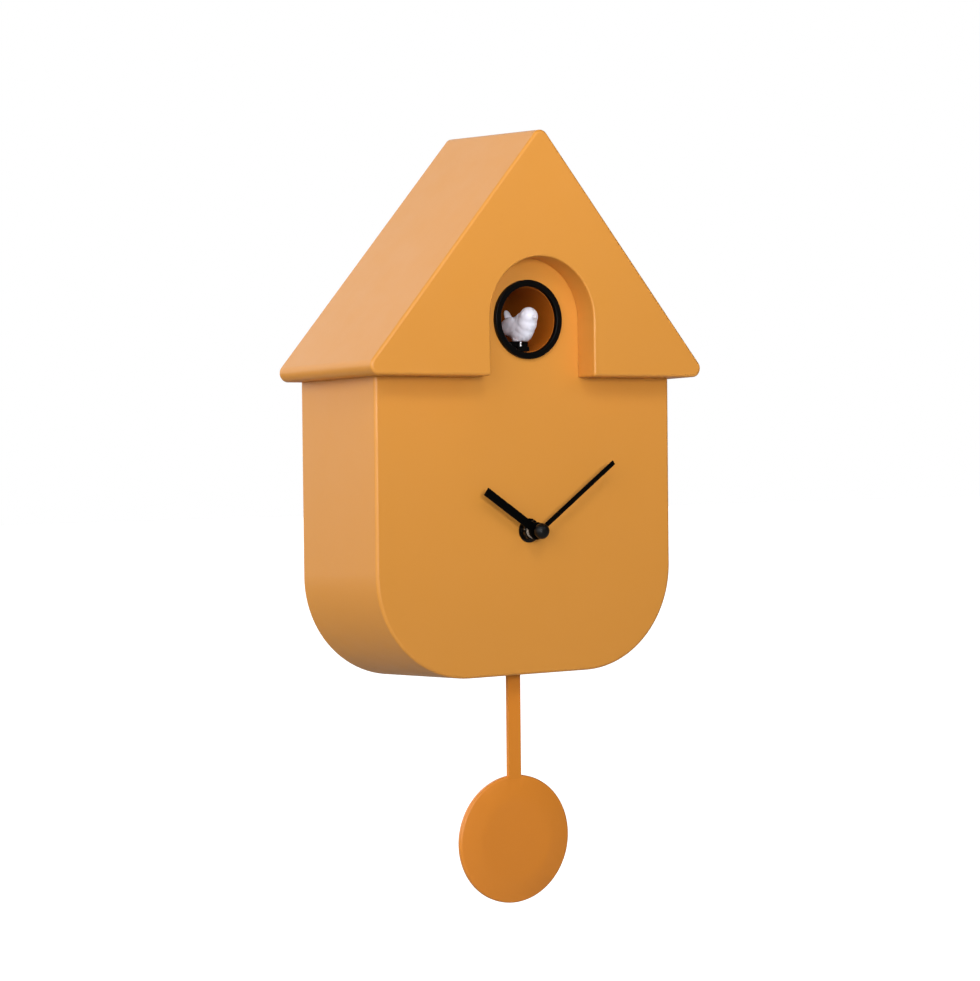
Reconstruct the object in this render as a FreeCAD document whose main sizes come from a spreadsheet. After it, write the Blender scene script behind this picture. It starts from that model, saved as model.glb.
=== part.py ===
"""Wall cuckoo clock: a moulded house with a gabled roof, two hands, a bird in a round window and a pendulum.

Frame, in millimetres: the origin is the centre of the hanging hole, in the plane of the wall. +X is to the
right of someone facing the clock, +Y points into the wall and +Z is up. In this script a place is given as
(across, forward, up): across is X, forward is the distance out from the wall, and up is the height above the
eave line.
"""

import FreeCAD
import Part
import math
import os
import re

import Sketcher
from fcgear import fcgear, involute

DIMS = {
    # House shells. Each moulding opens towards the wall and grows a little on the way, for its draft.
    "hook_rise": 85.0,
    "shell_wall": 2.5,
    "edge_round": 1.6,
    "roof_depth": 89.0,
    "roof_slope": 1.21,
    "roof_apex": 129.9,
    "roof_apex_rear": 135.1,
    "roof_round": 4.8,
    "eave_fall": 1.5,
    "face_depth": 73.5,
    "body_half": 91.5,
    "body_half_rear": 94.5,
    "body_drop": 156.0,
    "body_drop_rear": 159.4,
    "body_corner": 55.0,
    "body_top": 14.0,
    "tongue_half": 46.0,
    "tongue_top": 66.0,
    "fit_gap": 0.3,
    "arch_half": 32.0,
    # Bird window.
    "window_rise": 29.9,
    "ring_outer": 20.7,
    "ring_inner": 17.2,
    "ring_proud": 2.5,
    "tunnel_inner": 16.9,
    "tunnel_outer": 18.3,
    "tunnel_rear": 14.0,
    "tunnel_flange": 23.0,
    "perch_top": 16.0,
    "perch_forward": 67.1,
    "pin_bore": 0.8,
    "carrier_half": 3.5,
    "carrier_low": 13.6,
    "rack_module": 0.8,
    "reducer_module": 0.5,
    "axle_forward": 36.0,
    "axle_rise": 7.7,
    "axle_radius": 1.0,
    "motor_forward": 30.27,
    "motor_rise": 1.97,
    "motor_radius": 6.0,
    # Rear cover and hanger.
    "cover_thick": 2.5,
    "hanger_half": 12.0,
    "hanger_top": 22.0,
    "hanger_low": 14.0,
    "hanger_thick": 1.2,
    "rivet_rise": 17.5,
    "rivet_drop": 10.0,
    "keyhole_entry": 4.5,
    "keyhole_slot": 2.3,
    "keyhole_lift": 12.0,
    "access_half": 33.0,
    "access_top": 44.0,
    "access_low": 105.0,
    "access_rim": 8.0,
    "boss_outer": 4.0,
    "boss_core": 1.6,
    "screw_shank": 1.5,
    "screw_head": 3.2,
    "upper_boss_across": 83.0,
    "upper_boss_drop": 58.0,
    "lower_boss_across": 82.0,
    "lower_boss_drop": 112.0,
    "peak_boss_rise": 112.0,
    "eave_boss_across": 60.0,
    "eave_boss_rise": 8.3,
    "gable_boss_across": 40.0,
    "gable_boss_rise": 56.0,
    # Hands.
    "dial_drop": 80.5,
    "hour_length": 37.5,
    "hour_width": 4.5,
    "minute_length": 58.9,
    "minute_width": 2.5,
    "hand_thick": 0.8,
    "hour_plane": 80.7,
    "minute_plane": 83.6,
    "collar_radius": 3.6,
    "cap_radius": 4.2,
    "cap_rear": 85.2,
    "cap_front": 89.0,
    # Quartz movement.
    "case_half": 28.0,
    "case_wall": 1.2,
    "case_rear": 55.0,
    "case_split": 63.0,
    "bushing_radius": 4.0,
    "bushing_front": 79.4,
    "bushing_bore": 2.0,
    "nut_radius": 5.2,
    "nut_front": 77.2,
    "washer_radius": 6.4,
    "washer_thick": 0.5,
    "arbor_radius": 1.0,
    "tube_radius": 1.9,
    "pivot_radius": 0.5,
    "plate_rear": 64.2,
    "plate_front": 65.2,
    "motion_module": 0.35,
    "centre_module": 0.25,
    "train_module": 0.2,
    "knob_radius": 6.0,
    "cell_radius": 7.1,
    "cell_length": 50.0,
    "cell_drop": 19.4,
    "cell_forward": 62.6,
    # Pendulum.
    "swing_drop": 114.0,
    "pin_radius": 1.0,
    "box_half": 22.0,
    "box_low": 150.0,
    "box_top": 109.5,
    "box_rear": 46.0,
    "hook_drop": 138.0,
    "rod_plane": 56.5,
    "rod_width": 7.6,
    "rod_thick": 2.5,
    "disc_drop": 245.1,
    "disc_radius": 34.0,
    "disc_thick": 5.0,
    "disc_dome": 1.4,
    "slot_half": 14.0,
    "slot_front": 61.0,
    "slot_rear": 50.5,
    # Cuckoo batteries.
    "tray_half": 57.0,
    "tray_top": 113.0,
    "tray_low": 143.5,
    "tray_depth": 31.0,
    "tray_wall": 2.0,
    "big_cell_radius": 12.9,
    "big_cell_length": 49.0,
    "door_thick": 2.0,
    "door_half": 59.0,
    "door_top": 110.0,
    "door_low": 146.0,
    # Sound.
    "speaker_across": 56.0,
    "speaker_rise": 12.0,
    "speaker_radius": 20.0,
    "board_across": -56.0,
    "board_rise": 14.0,
}

doc = FreeCAD.newDocument("cuckoo_clock")
sheet = doc.addObject("Spreadsheet::Sheet", "Dims")
for row, (alias, size) in enumerate(DIMS.items(), start=1):
    sheet.set(f"A{row}", alias)
    sheet.set(f"B{row}", str(size))
    sheet.setAlias(f"B{row}", alias)
doc.recompute()

nodes = {}


# ---------------------------------------------------------------- expressions and placing


def formula(text):
    """An expression for FreeCAD, in which each alias of the sheet is given its full name."""
    return re.sub(r"\b[a-z_]+\b", lambda m: f"Dims.{m[0]}" if m[0] in DIMS else m[0], str(text))


def value(text):
    """The number that an expression comes to now."""
    return float(sheet.evalExpression(formula(text)))


def bind(thing, **properties):
    """Binds properties to expressions. A double underscore in a name stands for a dot."""
    for name, text in properties.items():
        thing.setExpression(name.replace("__", "."), formula(text))


def place(thing, across, forward, up):
    """Binds a thing's corner or centre to its place in the clock."""
    bind(
        thing,
        Placement__Base__x=across,
        Placement__Base__y=f"-({forward})",
        Placement__Base__z=f"({up}) - hook_rise",
    )


def keep(name, thing):
    """Names a finished sub-part, which is written to a file of that name."""
    thing.Label = name
    nodes[name] = thing
    return thing


# ---------------------------------------------------------------- primitives and booleans

UP_AXIS = FreeCAD.Vector(0, 0, 1)
FORWARD = FreeCAD.Rotation(FreeCAD.Vector(1, 0, 0), 90)
ACROSS = FreeCAD.Rotation(FreeCAD.Vector(0, 1, 0), 90)
UP = FreeCAD.Rotation()


def block(across, forward, up):
    """A box between (low, high) pairs of expressions on each axis."""
    box = doc.addObject("Part::Box", "block")
    bind(
        box,
        Length=f"({across[1]}) - ({across[0]})",
        Width=f"({forward[1]}) - ({forward[0]})",
        Height=f"({up[1]}) - ({up[0]})",
    )
    place(box, across[0], forward[1], up[0])
    return box


def cylinder(radius, length, start, turn):
    """A cylinder that runs from its start along the direction that turn gives."""
    rod = doc.addObject("Part::Cylinder", "cylinder")
    rod.Placement = FreeCAD.Placement(FreeCAD.Vector(), turn)
    bind(rod, Radius=radius, Height=length)
    place(rod, *start)
    return rod


def peg(radius, forward, across, up):
    """A cylinder that points forward, between a (low, high) pair."""
    return cylinder(radius, f"({forward[1]}) - ({forward[0]})", (across, forward[0], up), FORWARD)


def fuse(*things):
    """One solid out of several."""
    joined = doc.addObject("Part::MultiFuse", "fusion")
    joined.Shapes = list(things)
    joined.Refine = True
    return joined


def cut(base, *tools):
    """base less the tools."""
    left = doc.addObject("Part::Cut", "cut")
    left.Base = base
    left.Tool = tools[0] if len(tools) == 1 else fuse(*tools)
    return left


def group(*things):
    """Several separate solids under one name."""
    several = doc.addObject("Part::Compound", "group")
    several.Links = list(things)
    return several


# ---------------------------------------------------------------- sketches and features

PLANES = {
    # Each entry: the origin plane's role, then how (first, second, offset) become sketch x, y and distance.
    "front": ("XZ_Plane", "{0}", "({1}) - hook_rise", "{2}"),
    "top": ("XY_Plane", "{0}", "-({1})", "({2}) - hook_rise"),
    "side": ("YZ_Plane", "-({0})", "({1}) - hook_rise", "{2}"),
}


def new_body():
    """An empty PartDesign body."""
    return doc.addObject("PartDesign::Body", "body")


def new_sketch(body, plane, offset):
    """A sketch on a body's own origin plane, moved out along the plane's normal."""
    role, _, _, distance = PLANES[plane]
    sketch = body.newObject("Sketcher::SketchObject", "sketch")
    base = next(f for f in body.Origin.OriginFeatures if f.Role == role)
    sketch.AttachmentSupport = [(base, "")]
    sketch.MapMode = "FlatFace"
    bind(sketch, AttachmentOffset__Base__z=distance.format("", "", offset))
    return sketch


def constrain(sketch, kind, *ids, size=None):
    """Adds a constraint, with its size bound to an expression if it has one."""
    if size is None:
        return sketch.addConstraint(Sketcher.Constraint(kind, *ids))
    index = sketch.addConstraint(Sketcher.Constraint(kind, *ids, value(size)))
    sketch.setExpression(f"Constraints[{index}]", formula(size))
    return index


def pin_point(sketch, geometry, point, x, y):
    """Fixes a point of the sketch at (x, y)."""
    constrain(sketch, "DistanceX", -1, 1, geometry, point, size=x)
    constrain(sketch, "DistanceY", -1, 1, geometry, point, size=y)


def draw(sketch, corners):
    """Draws a closed outline. A corner is (x, y) or (x, y, radius), in the sketch's own axes."""
    count = len(corners)
    spots = [FreeCAD.Vector(value(c[0]), value(c[1]), 0) for c in corners]
    radii = [value(c[2]) if len(c) > 2 else 0.0 for c in corners]
    entries, exits, arcs = [], [], {}
    for i, spot in enumerate(spots):
        back = (spots[i - 1] - spot).normalize()
        on = (spots[(i + 1) % count] - spot).normalize()
        half = back.getAngle(on) / 2
        reach = radii[i] / math.tan(half)
        entries.append(spot + back * reach)
        exits.append(spot + on * reach)
        if radii[i]:
            centre = spot + (back + on).normalize() * (radii[i] / math.sin(half))
            turns_left = back.cross(on).z < 0
            arcs[i] = (centre, turns_left)
    for i in range(count):
        sketch.addGeometry(Part.LineSegment(exits[i], entries[(i + 1) % count]), False)
    for i, spot in enumerate(spots):
        before = (i - 1) % count
        x, y = corners[i][0], corners[i][1]
        if i not in arcs:
            constrain(sketch, "Coincident", before, 2, i, 1)
            pin_point(sketch, i, 1, x, y)
            continue
        centre, turns_left = arcs[i]
        first, last = (entries[i], exits[i]) if turns_left else (exits[i], entries[i])
        angles = [math.atan2((p - centre).y, (p - centre).x) for p in (first, last)]
        circle = Part.Circle(centre, FreeCAD.Vector(0, 0, 1), radii[i])
        arc = sketch.addGeometry(Part.ArcOfCircle(circle, *angles), False)
        corner = sketch.addGeometry(Part.Point(spot), True)
        pin_point(sketch, corner, 1, x, y)
        constrain(sketch, "PointOnObject", corner, 1, before)
        constrain(sketch, "PointOnObject", corner, 1, i)
        starts, ends = (1, 2) if turns_left else (2, 1)
        constrain(sketch, "Tangent", before, 2, arc, starts)
        constrain(sketch, "Tangent", arc, ends, i, 1)
        constrain(sketch, "Radius", arc, size=corners[i][2])


def profile(body, plane, offset, corners):
    """A sketch of a closed outline, with its corners given in the clock's own axes for that plane."""
    _, x, y, _ = PLANES[plane]
    sketch = new_sketch(body, plane, offset)
    draw(sketch, [(x.format(*c[:2]), y.format(*c[:2]), *c[2:]) for c in corners])
    return sketch


def arch_profile(body, offset, half, low):
    """A sketch of a round-topped doorway centred on the bird window."""
    sketch = new_sketch(body, "front", offset)
    radius, rise, foot = value(half), value("window_rise - hook_rise"), value(f"{low} - hook_rise")
    centre = FreeCAD.Vector(0, rise, 0)
    left, right = FreeCAD.Vector(-radius, rise, 0), FreeCAD.Vector(radius, rise, 0)
    low_left, low_right = FreeCAD.Vector(-radius, foot, 0), FreeCAD.Vector(radius, foot, 0)
    circle = Part.Circle(centre, FreeCAD.Vector(0, 0, 1), radius)
    arc = sketch.addGeometry(Part.ArcOfCircle(circle, 0, math.pi), False)
    down = sketch.addGeometry(Part.LineSegment(left, low_left), False)
    floor = sketch.addGeometry(Part.LineSegment(low_left, low_right), False)
    rise_line = sketch.addGeometry(Part.LineSegment(low_right, right), False)
    pin_point(sketch, arc, 3, "0", "window_rise - hook_rise")
    constrain(sketch, "Radius", arc, size=half)
    constrain(sketch, "Tangent", arc, 2, down, 1)
    constrain(sketch, "Tangent", rise_line, 2, arc, 1)
    constrain(sketch, "Vertical", down)
    constrain(sketch, "Coincident", down, 2, floor, 1)
    constrain(sketch, "Coincident", floor, 2, rise_line, 1)
    constrain(sketch, "Horizontal", floor)
    constrain(sketch, "Vertical", rise_line)
    constrain(sketch, "DistanceY", -1, 1, floor, 1, size=f"{low} - hook_rise")
    return sketch


def disc_profile(body, plane, offset, first, second, radius):
    """A sketch of one circle."""
    _, x, y, _ = PLANES[plane]
    x, y = x.format(first, second), y.format(first, second)
    sketch = new_sketch(body, plane, offset)
    circle = Part.Circle(FreeCAD.Vector(value(x), value(y), 0), FreeCAD.Vector(0, 0, 1), value(radius))
    index = sketch.addGeometry(circle, False)
    pin_point(sketch, index, 3, x, y)
    constrain(sketch, "Radius", index, size=radius)
    return sketch


def pad(body, sketch, length):
    """Adds material along the sketch's normal: forward, up or across."""
    feature = body.newObject("PartDesign::Pad", "pad")
    feature.Profile = sketch
    bind(feature, Length=length)
    doc.recompute()
    return feature


def pocket(body, sketch, length, reverse=False):
    """Cuts against the sketch's normal, or along it if reversed, and makes sure that something was cut."""
    before = body.Shape.Volume
    feature = body.newObject("PartDesign::Pocket", "pocket")
    feature.Profile = sketch
    feature.Reversed = reverse
    bind(feature, Length=length)
    doc.recompute()
    if body.Shape.Volume > before - 1e-3:
        raise RuntimeError(f"a pocket in {body.Label} cut nothing")
    return feature


def loft(body, kind, first, last):
    """A straight-sided loft between two sketches; kind is Additive or Subtractive."""
    feature = body.newObject(f"PartDesign::{kind}Loft", "loft")
    feature.Profile = first
    feature.Sections = [last]
    feature.Ruled = True
    doc.recompute()
    return feature


def soften(body, radius, wanted):
    """Rounds the edges of the body's tip that wanted(edge) picks."""
    tip = body.Tip
    names = [f"Edge{i}" for i, edge in enumerate(tip.Shape.Edges, start=1) if wanted(edge)]
    feature = body.newObject("PartDesign::Fillet", "fillet")
    feature.Base = (tip, names)
    bind(feature, Radius=radius)
    doc.recompute()
    return feature


def turned(across, up, corners):
    """A lathe-made body about an axis that points forward, from corners of (forward, radius[, round])."""
    body = new_body()
    sketch = new_sketch(body, "side", across)
    bind(sketch, AttachmentOffset__Base__y=f"({up}) - hook_rise")
    draw(sketch, [(f"-({c[0]})", *c[1:]) for c in corners])
    feature = body.newObject("PartDesign::Revolution", "revolution")
    feature.Profile = sketch
    feature.ReferenceAxis = (sketch, ["H_Axis"])
    feature.Angle = 360
    doc.recompute()
    return body


def plate(plane, offset, thickness, corners):
    """A body padded from one outline."""
    body = new_body()
    pad(body, profile(body, plane, offset, corners), thickness)
    return body


def both_sides(half, low, high):
    """The four corners of an outline that is symmetric about the centre plane."""
    return [(f"-({half})", low), (half, low), (half, high), (f"-({half})", high)]


# ---------------------------------------------------------------- gears


def teeth(module, count, phase, forward, across, up, turn=FORWARD):
    """An involute gear, padded between a (low, high) pair, with a tooth at that angle round its centre."""
    builder = fcgear.FCWireBuilder()
    involute.CreateExternalGear(builder, value(module), count, 20, False)
    wire = Part.Wire([edge.toShape() for edge in builder.wire])
    outline = doc.addObject("Part::Feature", "teeth")
    outline.Shape = Part.Face(wire)
    gear = doc.addObject("Part::Extrusion", "gear")
    gear.Base = outline
    gear.Dir = (0, 0, 1)
    gear.Solid = True
    gear.Placement = FreeCAD.Placement(FreeCAD.Vector(), turn * FreeCAD.Rotation(UP_AXIS, phase))
    if turn is FORWARD:
        bind(gear, LengthFwd=f"({forward[1]}) - ({forward[0]})")
        place(gear, across, forward[0], up)
    else:
        bind(gear, LengthFwd=f"({across[1]}) - ({across[0]})")
        place(gear, across[0], forward, up)
    return gear


def meshing(count, phase, direction, other):
    """The phase at which a gear of other teeth meshes with one of count teeth, back along direction."""
    return direction + 180 - 360 / other * (0.5 - count * (direction - phase) / 360)


def beyond(start, direction, module, count, other):
    """The centre of a gear that meshes with the one at start, and is this far round from it, in degrees."""
    reach = f"({count + other}) * {module} / 2 * 1.008"
    angle = math.radians(direction)
    across = f"({start[0]}) + {reach} * {math.cos(angle):.6f}"
    up = f"({start[1]}) + {reach} * {math.sin(angle):.6f}"
    return across, up


# ---------------------------------------------------------------- house: roof, body, rear cover


def gable(apex, low, inset):
    """The roof's outline, moved in by inset all round."""
    peak = f"(({apex}) - ({inset}) * sqrt(1 + roof_slope * roof_slope))"
    foot = f"(({low}) + ({inset}))"
    tip = f"(({peak} - {foot}) / roof_slope)"
    radius = f"roof_round - ({inset})"
    return [("0", peak, radius), (f"-{tip}", foot, radius), (tip, foot, radius)]


def house(half, drop, inset):
    """The body's outline, moved in by inset at the sides and the bottom."""
    side, floor = f"({half} - ({inset}))", f"-({drop} - ({inset}))"
    radius = f"body_corner - ({inset})"
    return [(f"-{side}", "body_top"), (side, "body_top"), (side, floor, radius), (f"-{side}", floor, radius)]


def all_in(forward):
    """A test for edges that lie in the plane at that distance from the wall."""
    return lambda edge: max(abs(edge.BoundBox.YMin + forward), abs(edge.BoundBox.YMax + forward)) < 1e-3


def arch_edge(edge):
    """Whether an edge is the doorway's round top, in the roof's front plane."""
    return all_in(DIMS["roof_depth"])(edge) and edge.Length > 3 * DIMS["arch_half"] and not edge.isClosed()


COVER_SCREWS = [
    ("0", "peak_boss_rise"),
    ("upper_boss_across", "-upper_boss_drop"),
    ("-upper_boss_across", "-upper_boss_drop"),
    ("lower_boss_across", "-lower_boss_drop"),
    ("-lower_boss_across", "-lower_boss_drop"),
]
ROOF_SCREWS = [
    ("eave_boss_across", "eave_boss_rise"),
    ("-eave_boss_across", "eave_boss_rise"),
    ("gable_boss_across", "gable_boss_rise"),
    ("-gable_boss_across", "gable_boss_rise"),
]
SOUND_POSTS = [
    ("board_across - 19", "board_rise - 13"),
    ("board_across + 19", "board_rise - 13"),
    ("board_across + 19", "board_rise + 13"),
    ("board_across - 15", "board_rise + 13"),
]
GRILLE = [(0, 0)]
for ring, count in ((4.5, 6), (9.0, 12), (13.5, 18)):
    for step in range(count):
        angle = 2 * math.pi * step / count
        GRILLE.append((round(ring * math.cos(angle), 3), round(ring * math.sin(angle), 3)))


def make_roof():
    """The gabled roof: a shell with an arched doorway, and a soffit that the body comes up through."""
    roof = new_body()
    rear = profile(roof, "front", "0", gable("roof_apex_rear", "-eave_fall", "0"))
    loft(roof, "Additive", rear, profile(roof, "front", "roof_depth", gable("roof_apex", "0", "0")))
    soften(roof, "edge_round", all_in(DIMS["roof_depth"]))
    rear = profile(roof, "front", "0", gable("roof_apex_rear", "-eave_fall", "shell_wall"))
    front = profile(roof, "front", "roof_depth - shell_wall", gable("roof_apex", "0", "shell_wall"))
    loft(roof, "Subtractive", rear, front)
    reveal = arch_profile(roof, "face_depth + fit_gap", "arch_half + shell_wall", "1")
    pad(roof, reveal, "roof_depth - face_depth - 1")
    for across, up in ROOF_SCREWS:
        pad(roof, disc_profile(roof, "front", "face_depth + fit_gap", across, up, "boss_outer"),
            "roof_depth - face_depth - 1")
        pocket(roof, disc_profile(roof, "front", "roof_depth - shell_wall", across, up, "boss_core"),
               "roof_depth - face_depth - shell_wall")
    gusset = profile(roof, "front", "cover_thick + fit_gap", [
        ("0", "roof_apex_rear - 2", "roof_round - 1.3"),
        ("-(roof_apex_rear + 5 - peak_boss_rise) / roof_slope", "peak_boss_rise - 7"),
        ("(roof_apex_rear + 5 - peak_boss_rise) / roof_slope", "peak_boss_rise - 7"),
    ])
    pad(roof, gusset, "7")
    pocket(roof, disc_profile(roof, "front", "cover_thick + 8", "0", "peak_boss_rise", "boss_core"), "8")
    pocket(roof, arch_profile(roof, "roof_depth + 1", "arch_half", "-4"), "roof_depth - face_depth + 2")
    soften(roof, "1", arch_edge)
    passage = profile(roof, "top", "3.5", [
        ("-(body_half_rear + fit_gap)", "-0.5"),
        ("body_half_rear + fit_gap", "-0.5"),
        ("body_half + fit_gap", "face_depth + fit_gap"),
        ("-(body_half + fit_gap)", "face_depth + fit_gap"),
    ])
    pocket(roof, passage, "8")
    return keep("roof_shell", roof)


def make_body():
    """The body under the roof: open at the back, with a tongue behind the roof's doorway."""
    body = new_body()
    rear = profile(body, "front", "0", house("body_half_rear", "body_drop_rear", "0"))
    loft(body, "Additive", rear, profile(body, "front", "face_depth", house("body_half", "body_drop", "0")))
    soften(body, "edge_round", all_in(DIMS["face_depth"]))
    tongue = [
        ("-tongue_half", "body_top - 12"),
        ("tongue_half", "body_top - 12"),
        ("tongue_half", "tongue_top", "8"),
        ("-tongue_half", "tongue_top", "8"),
    ]
    pad(body, profile(body, "front", "face_depth - shell_wall", tongue), "shell_wall")
    hollow = [
        ("body_half_rear", "body_drop_rear", "0"),
        ("body_half", "body_drop", "face_depth - shell_wall"),
    ]
    sketches = []
    for half, drop, forward in hollow:
        outline = house(half, drop, "shell_wall")
        outline[0] = (outline[0][0], "tongue_top + 5")
        outline[1] = (outline[1][0], "tongue_top + 5")
        sketches.append(profile(body, "front", forward, outline))
    loft(body, "Subtractive", *sketches)
    for side, sign in (("", 1), ("-", -1)):
        for across, drop in (("upper_boss_across", "upper_boss_drop"), ("lower_boss_across", "lower_boss_drop")):
            corners = [
                (f"{side}({across} - 4)", f"-{drop} - 4"),
                (f"{side}({across} + 9)", f"-{drop} - 4"),
                (f"{side}({across} + 9)", f"-{drop} + 4"),
                (f"{side}({across} - 4)", f"-{drop} + 4"),
            ]
            pad(body, profile(body, "front", "cover_thick + fit_gap", corners[::sign]), "12")
            core = disc_profile(body, "front", "cover_thick + 12", f"{side}{across}", f"-{drop}", "boss_core")
            pocket(body, core, "12")
    for across, up in ROOF_SCREWS:
        pocket(body, disc_profile(body, "front", "face_depth + 1", across, up, "boss_core"), "shell_wall + 2")
    window = disc_profile(body, "front", "face_depth + 1", "0", "window_rise", "tunnel_outer + 0.05")
    pocket(body, window, "shell_wall + 2")
    dial = disc_profile(body, "front", "face_depth + 1", "0", "-dial_drop", "bushing_radius + 0.1")
    pocket(body, dial, "shell_wall + 2")
    eave = both_sides("body_half_rear + 1", "0.9", "body_top + 1")
    notch = profile(body, "front", "cover_thick + fit_gap", eave)
    pocket(body, notch, "cover_thick + 1")
    slot = profile(body, "top", "-body_drop + 4", [
        ("-slot_half", "slot_rear", "2"),
        ("slot_half", "slot_rear", "2"),
        ("slot_half", "slot_front", "2"),
        ("-slot_half", "slot_front", "2"),
    ])
    pocket(body, slot, "8")
    return keep("body_shell", body)


def make_cover():
    """The rear cover, with the battery tray, the access opening behind the movement and the sound posts."""
    cover = new_body()
    gap = "shell_wall + fit_gap"
    pad(cover, profile(cover, "front", "0", gable("roof_apex_rear", "-eave_fall", gap)), "cover_thick")
    outline = house("body_half_rear", "body_drop_rear", gap)
    pad(cover, profile(cover, "front", "0", outline), "cover_thick")
    ledge = both_sides("door_half + 2.5", "-door_low - 2", "-door_top + 2")
    pad(cover, profile(cover, "front", "cover_thick - 0.5", ledge), "2.4")
    tray = both_sides("tray_half + tray_wall", "-tray_low - tray_wall", "-tray_top + tray_wall")
    pad(cover, profile(cover, "front", "cover_thick - 0.5", tray), "tray_depth + tray_wall - cover_thick + 0.5")
    rim = both_sides("access_half + 2", "-access_low - 2", "-access_top + 2")
    pad(cover, profile(cover, "front", "cover_thick - 0.5", rim), "access_rim")
    access = both_sides("access_half", "-access_low", "-access_top")
    pocket(cover, profile(cover, "front", "access_rim + cover_thick", access), "access_rim + cover_thick + 1")
    inner = both_sides("tray_half", "-tray_low", "-tray_top")
    pocket(cover, profile(cover, "front", "tray_depth", inner), "tray_depth + 1")
    recess = both_sides("door_half + 0.2", "-door_low - 0.2", "-door_top + 0.2")
    pocket(cover, profile(cover, "front", "door_thick + 0.1", recess), "door_thick + 1")
    for across, up in COVER_SCREWS:
        hole = disc_profile(cover, "front", "cover_thick + 1", across, up, "screw_shank + 0.1")
        pocket(cover, hole, "cover_thick + 2")
        head = disc_profile(cover, "front", "1.6", across, up, "screw_head + 0.3")
        pocket(cover, head, "3")
    plate_seat = both_sides("hanger_half + 0.2", "hook_rise - hanger_low - 0.2", "hook_rise + hanger_top + 0.2")
    pocket(cover, profile(cover, "front", "hanger_thick", plate_seat), "hanger_thick + 1")
    hook = both_sides("8", "hook_rise - 7", "hook_rise + keyhole_lift + 2.5")
    pocket(cover, profile(cover, "front", "cover_thick + 1", hook), "cover_thick + 2")
    for up in ("hook_rise + rivet_rise", "hook_rise - rivet_drop"):
        pad(cover, disc_profile(cover, "front", "0.2", "0", up, "1.5"), "cover_thick - 0.4")
    for across, up in SOUND_POSTS:
        pad(cover, disc_profile(cover, "front", "cover_thick - 0.5", across, up, "2.5"), "4")
    switch = [
        ("board_across - 9", "board_rise - 18"),
        ("board_across + 9", "board_rise - 18"),
        ("board_across + 9", "board_rise - 12"),
        ("board_across - 9", "board_rise - 12"),
    ]
    pocket(cover, profile(cover, "front", "cover_thick + 1", switch), "cover_thick + 2")
    trunnions = cylinder("0.65", "2 * door_half + 3", ("-door_half - 1.5", "1", "-door_low + 1"), ACROSS)
    grille = [
        peg("1.2", ("-1", "cover_thick + 1"), f"speaker_across + {x}", f"speaker_rise + {z}")
        for x, z in GRILLE
    ]
    return keep("back_cover", cut(cover, trunnions, *grille))


def make_hanger():
    """The steel plate with the keyhole that the clock hangs by."""
    hanger = plate("front", "0", "hanger_thick", [
        ("-hanger_half", "hook_rise - hanger_low", "2"),
        ("hanger_half", "hook_rise - hanger_low", "2"),
        ("hanger_half", "hook_rise + hanger_top", "2"),
        ("-hanger_half", "hook_rise + hanger_top", "2"),
    ])
    entry = disc_profile(hanger, "front", "hanger_thick + 1", "0", "hook_rise", "keyhole_entry")
    pocket(hanger, entry, "hanger_thick + 2")
    slot = both_sides("keyhole_slot", "hook_rise", "hook_rise + keyhole_lift")
    pocket(hanger, profile(hanger, "front", "hanger_thick + 1", slot), "hanger_thick + 2")
    top = disc_profile(hanger, "front", "hanger_thick + 1", "0", "hook_rise + keyhole_lift", "keyhole_slot")
    pocket(hanger, top, "hanger_thick + 2")
    for up in ("hook_rise + rivet_rise", "hook_rise - rivet_drop"):
        rivet = disc_profile(hanger, "front", "hanger_thick + 1", "0", up, "1.55")
        pocket(hanger, rivet, "hanger_thick + 2")
    return keep("hanger_plate", hanger)


def screw(across, up, head, length):
    """A pan-head screw that points forward, with its head's underside at that distance from the wall."""
    shank = peg("screw_shank", (head, f"{head} + {length}"), across, up)
    cap = peg("screw_head", (f"{head} - 1.4", head), across, up)
    drive = [
        block((f"{across} - {x}", f"{across} + {x}"),
              (f"{head} - 1.5", f"{head} - 0.5"),
              (f"{up} - {z}", f"{up} + {z}"))
        for x, z in ((1.7, 0.4), (0.4, 1.7))
    ]
    return cut(fuse(shank, cap), *drive)


def make_screws():
    """The screws that hold the rear cover, and those that hold the roof to the body."""
    keep("cover_screws", group(*[screw(across, up, "1.6", "7.5") for across, up in COVER_SCREWS]))
    rear = "face_depth - shell_wall"
    keep("roof_screws", group(*[screw(across, up, rear, "9") for across, up in ROOF_SCREWS]))


def make_door():
    """The battery door, which turns on two trunnions at its lower edge."""
    panel = block(("-door_half", "door_half"), ("0", "door_thick"), ("-door_low + 1", "-door_top"))
    edge = cylinder("1", "2 * door_half", ("-door_half", "1", "-door_low + 1"), ACROSS)
    pins = cylinder("0.6", "2 * door_half + 2", ("-door_half - 1", "1", "-door_low + 1"), ACROSS)
    grip = block(("-10", "10"), ("-1", "0.8"), ("-door_top - 6", "-door_top - 3"))
    keep("battery_door", cut(fuse(panel, edge, pins), grip))


# ---------------------------------------------------------------- bird window and cuckoo works


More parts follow.
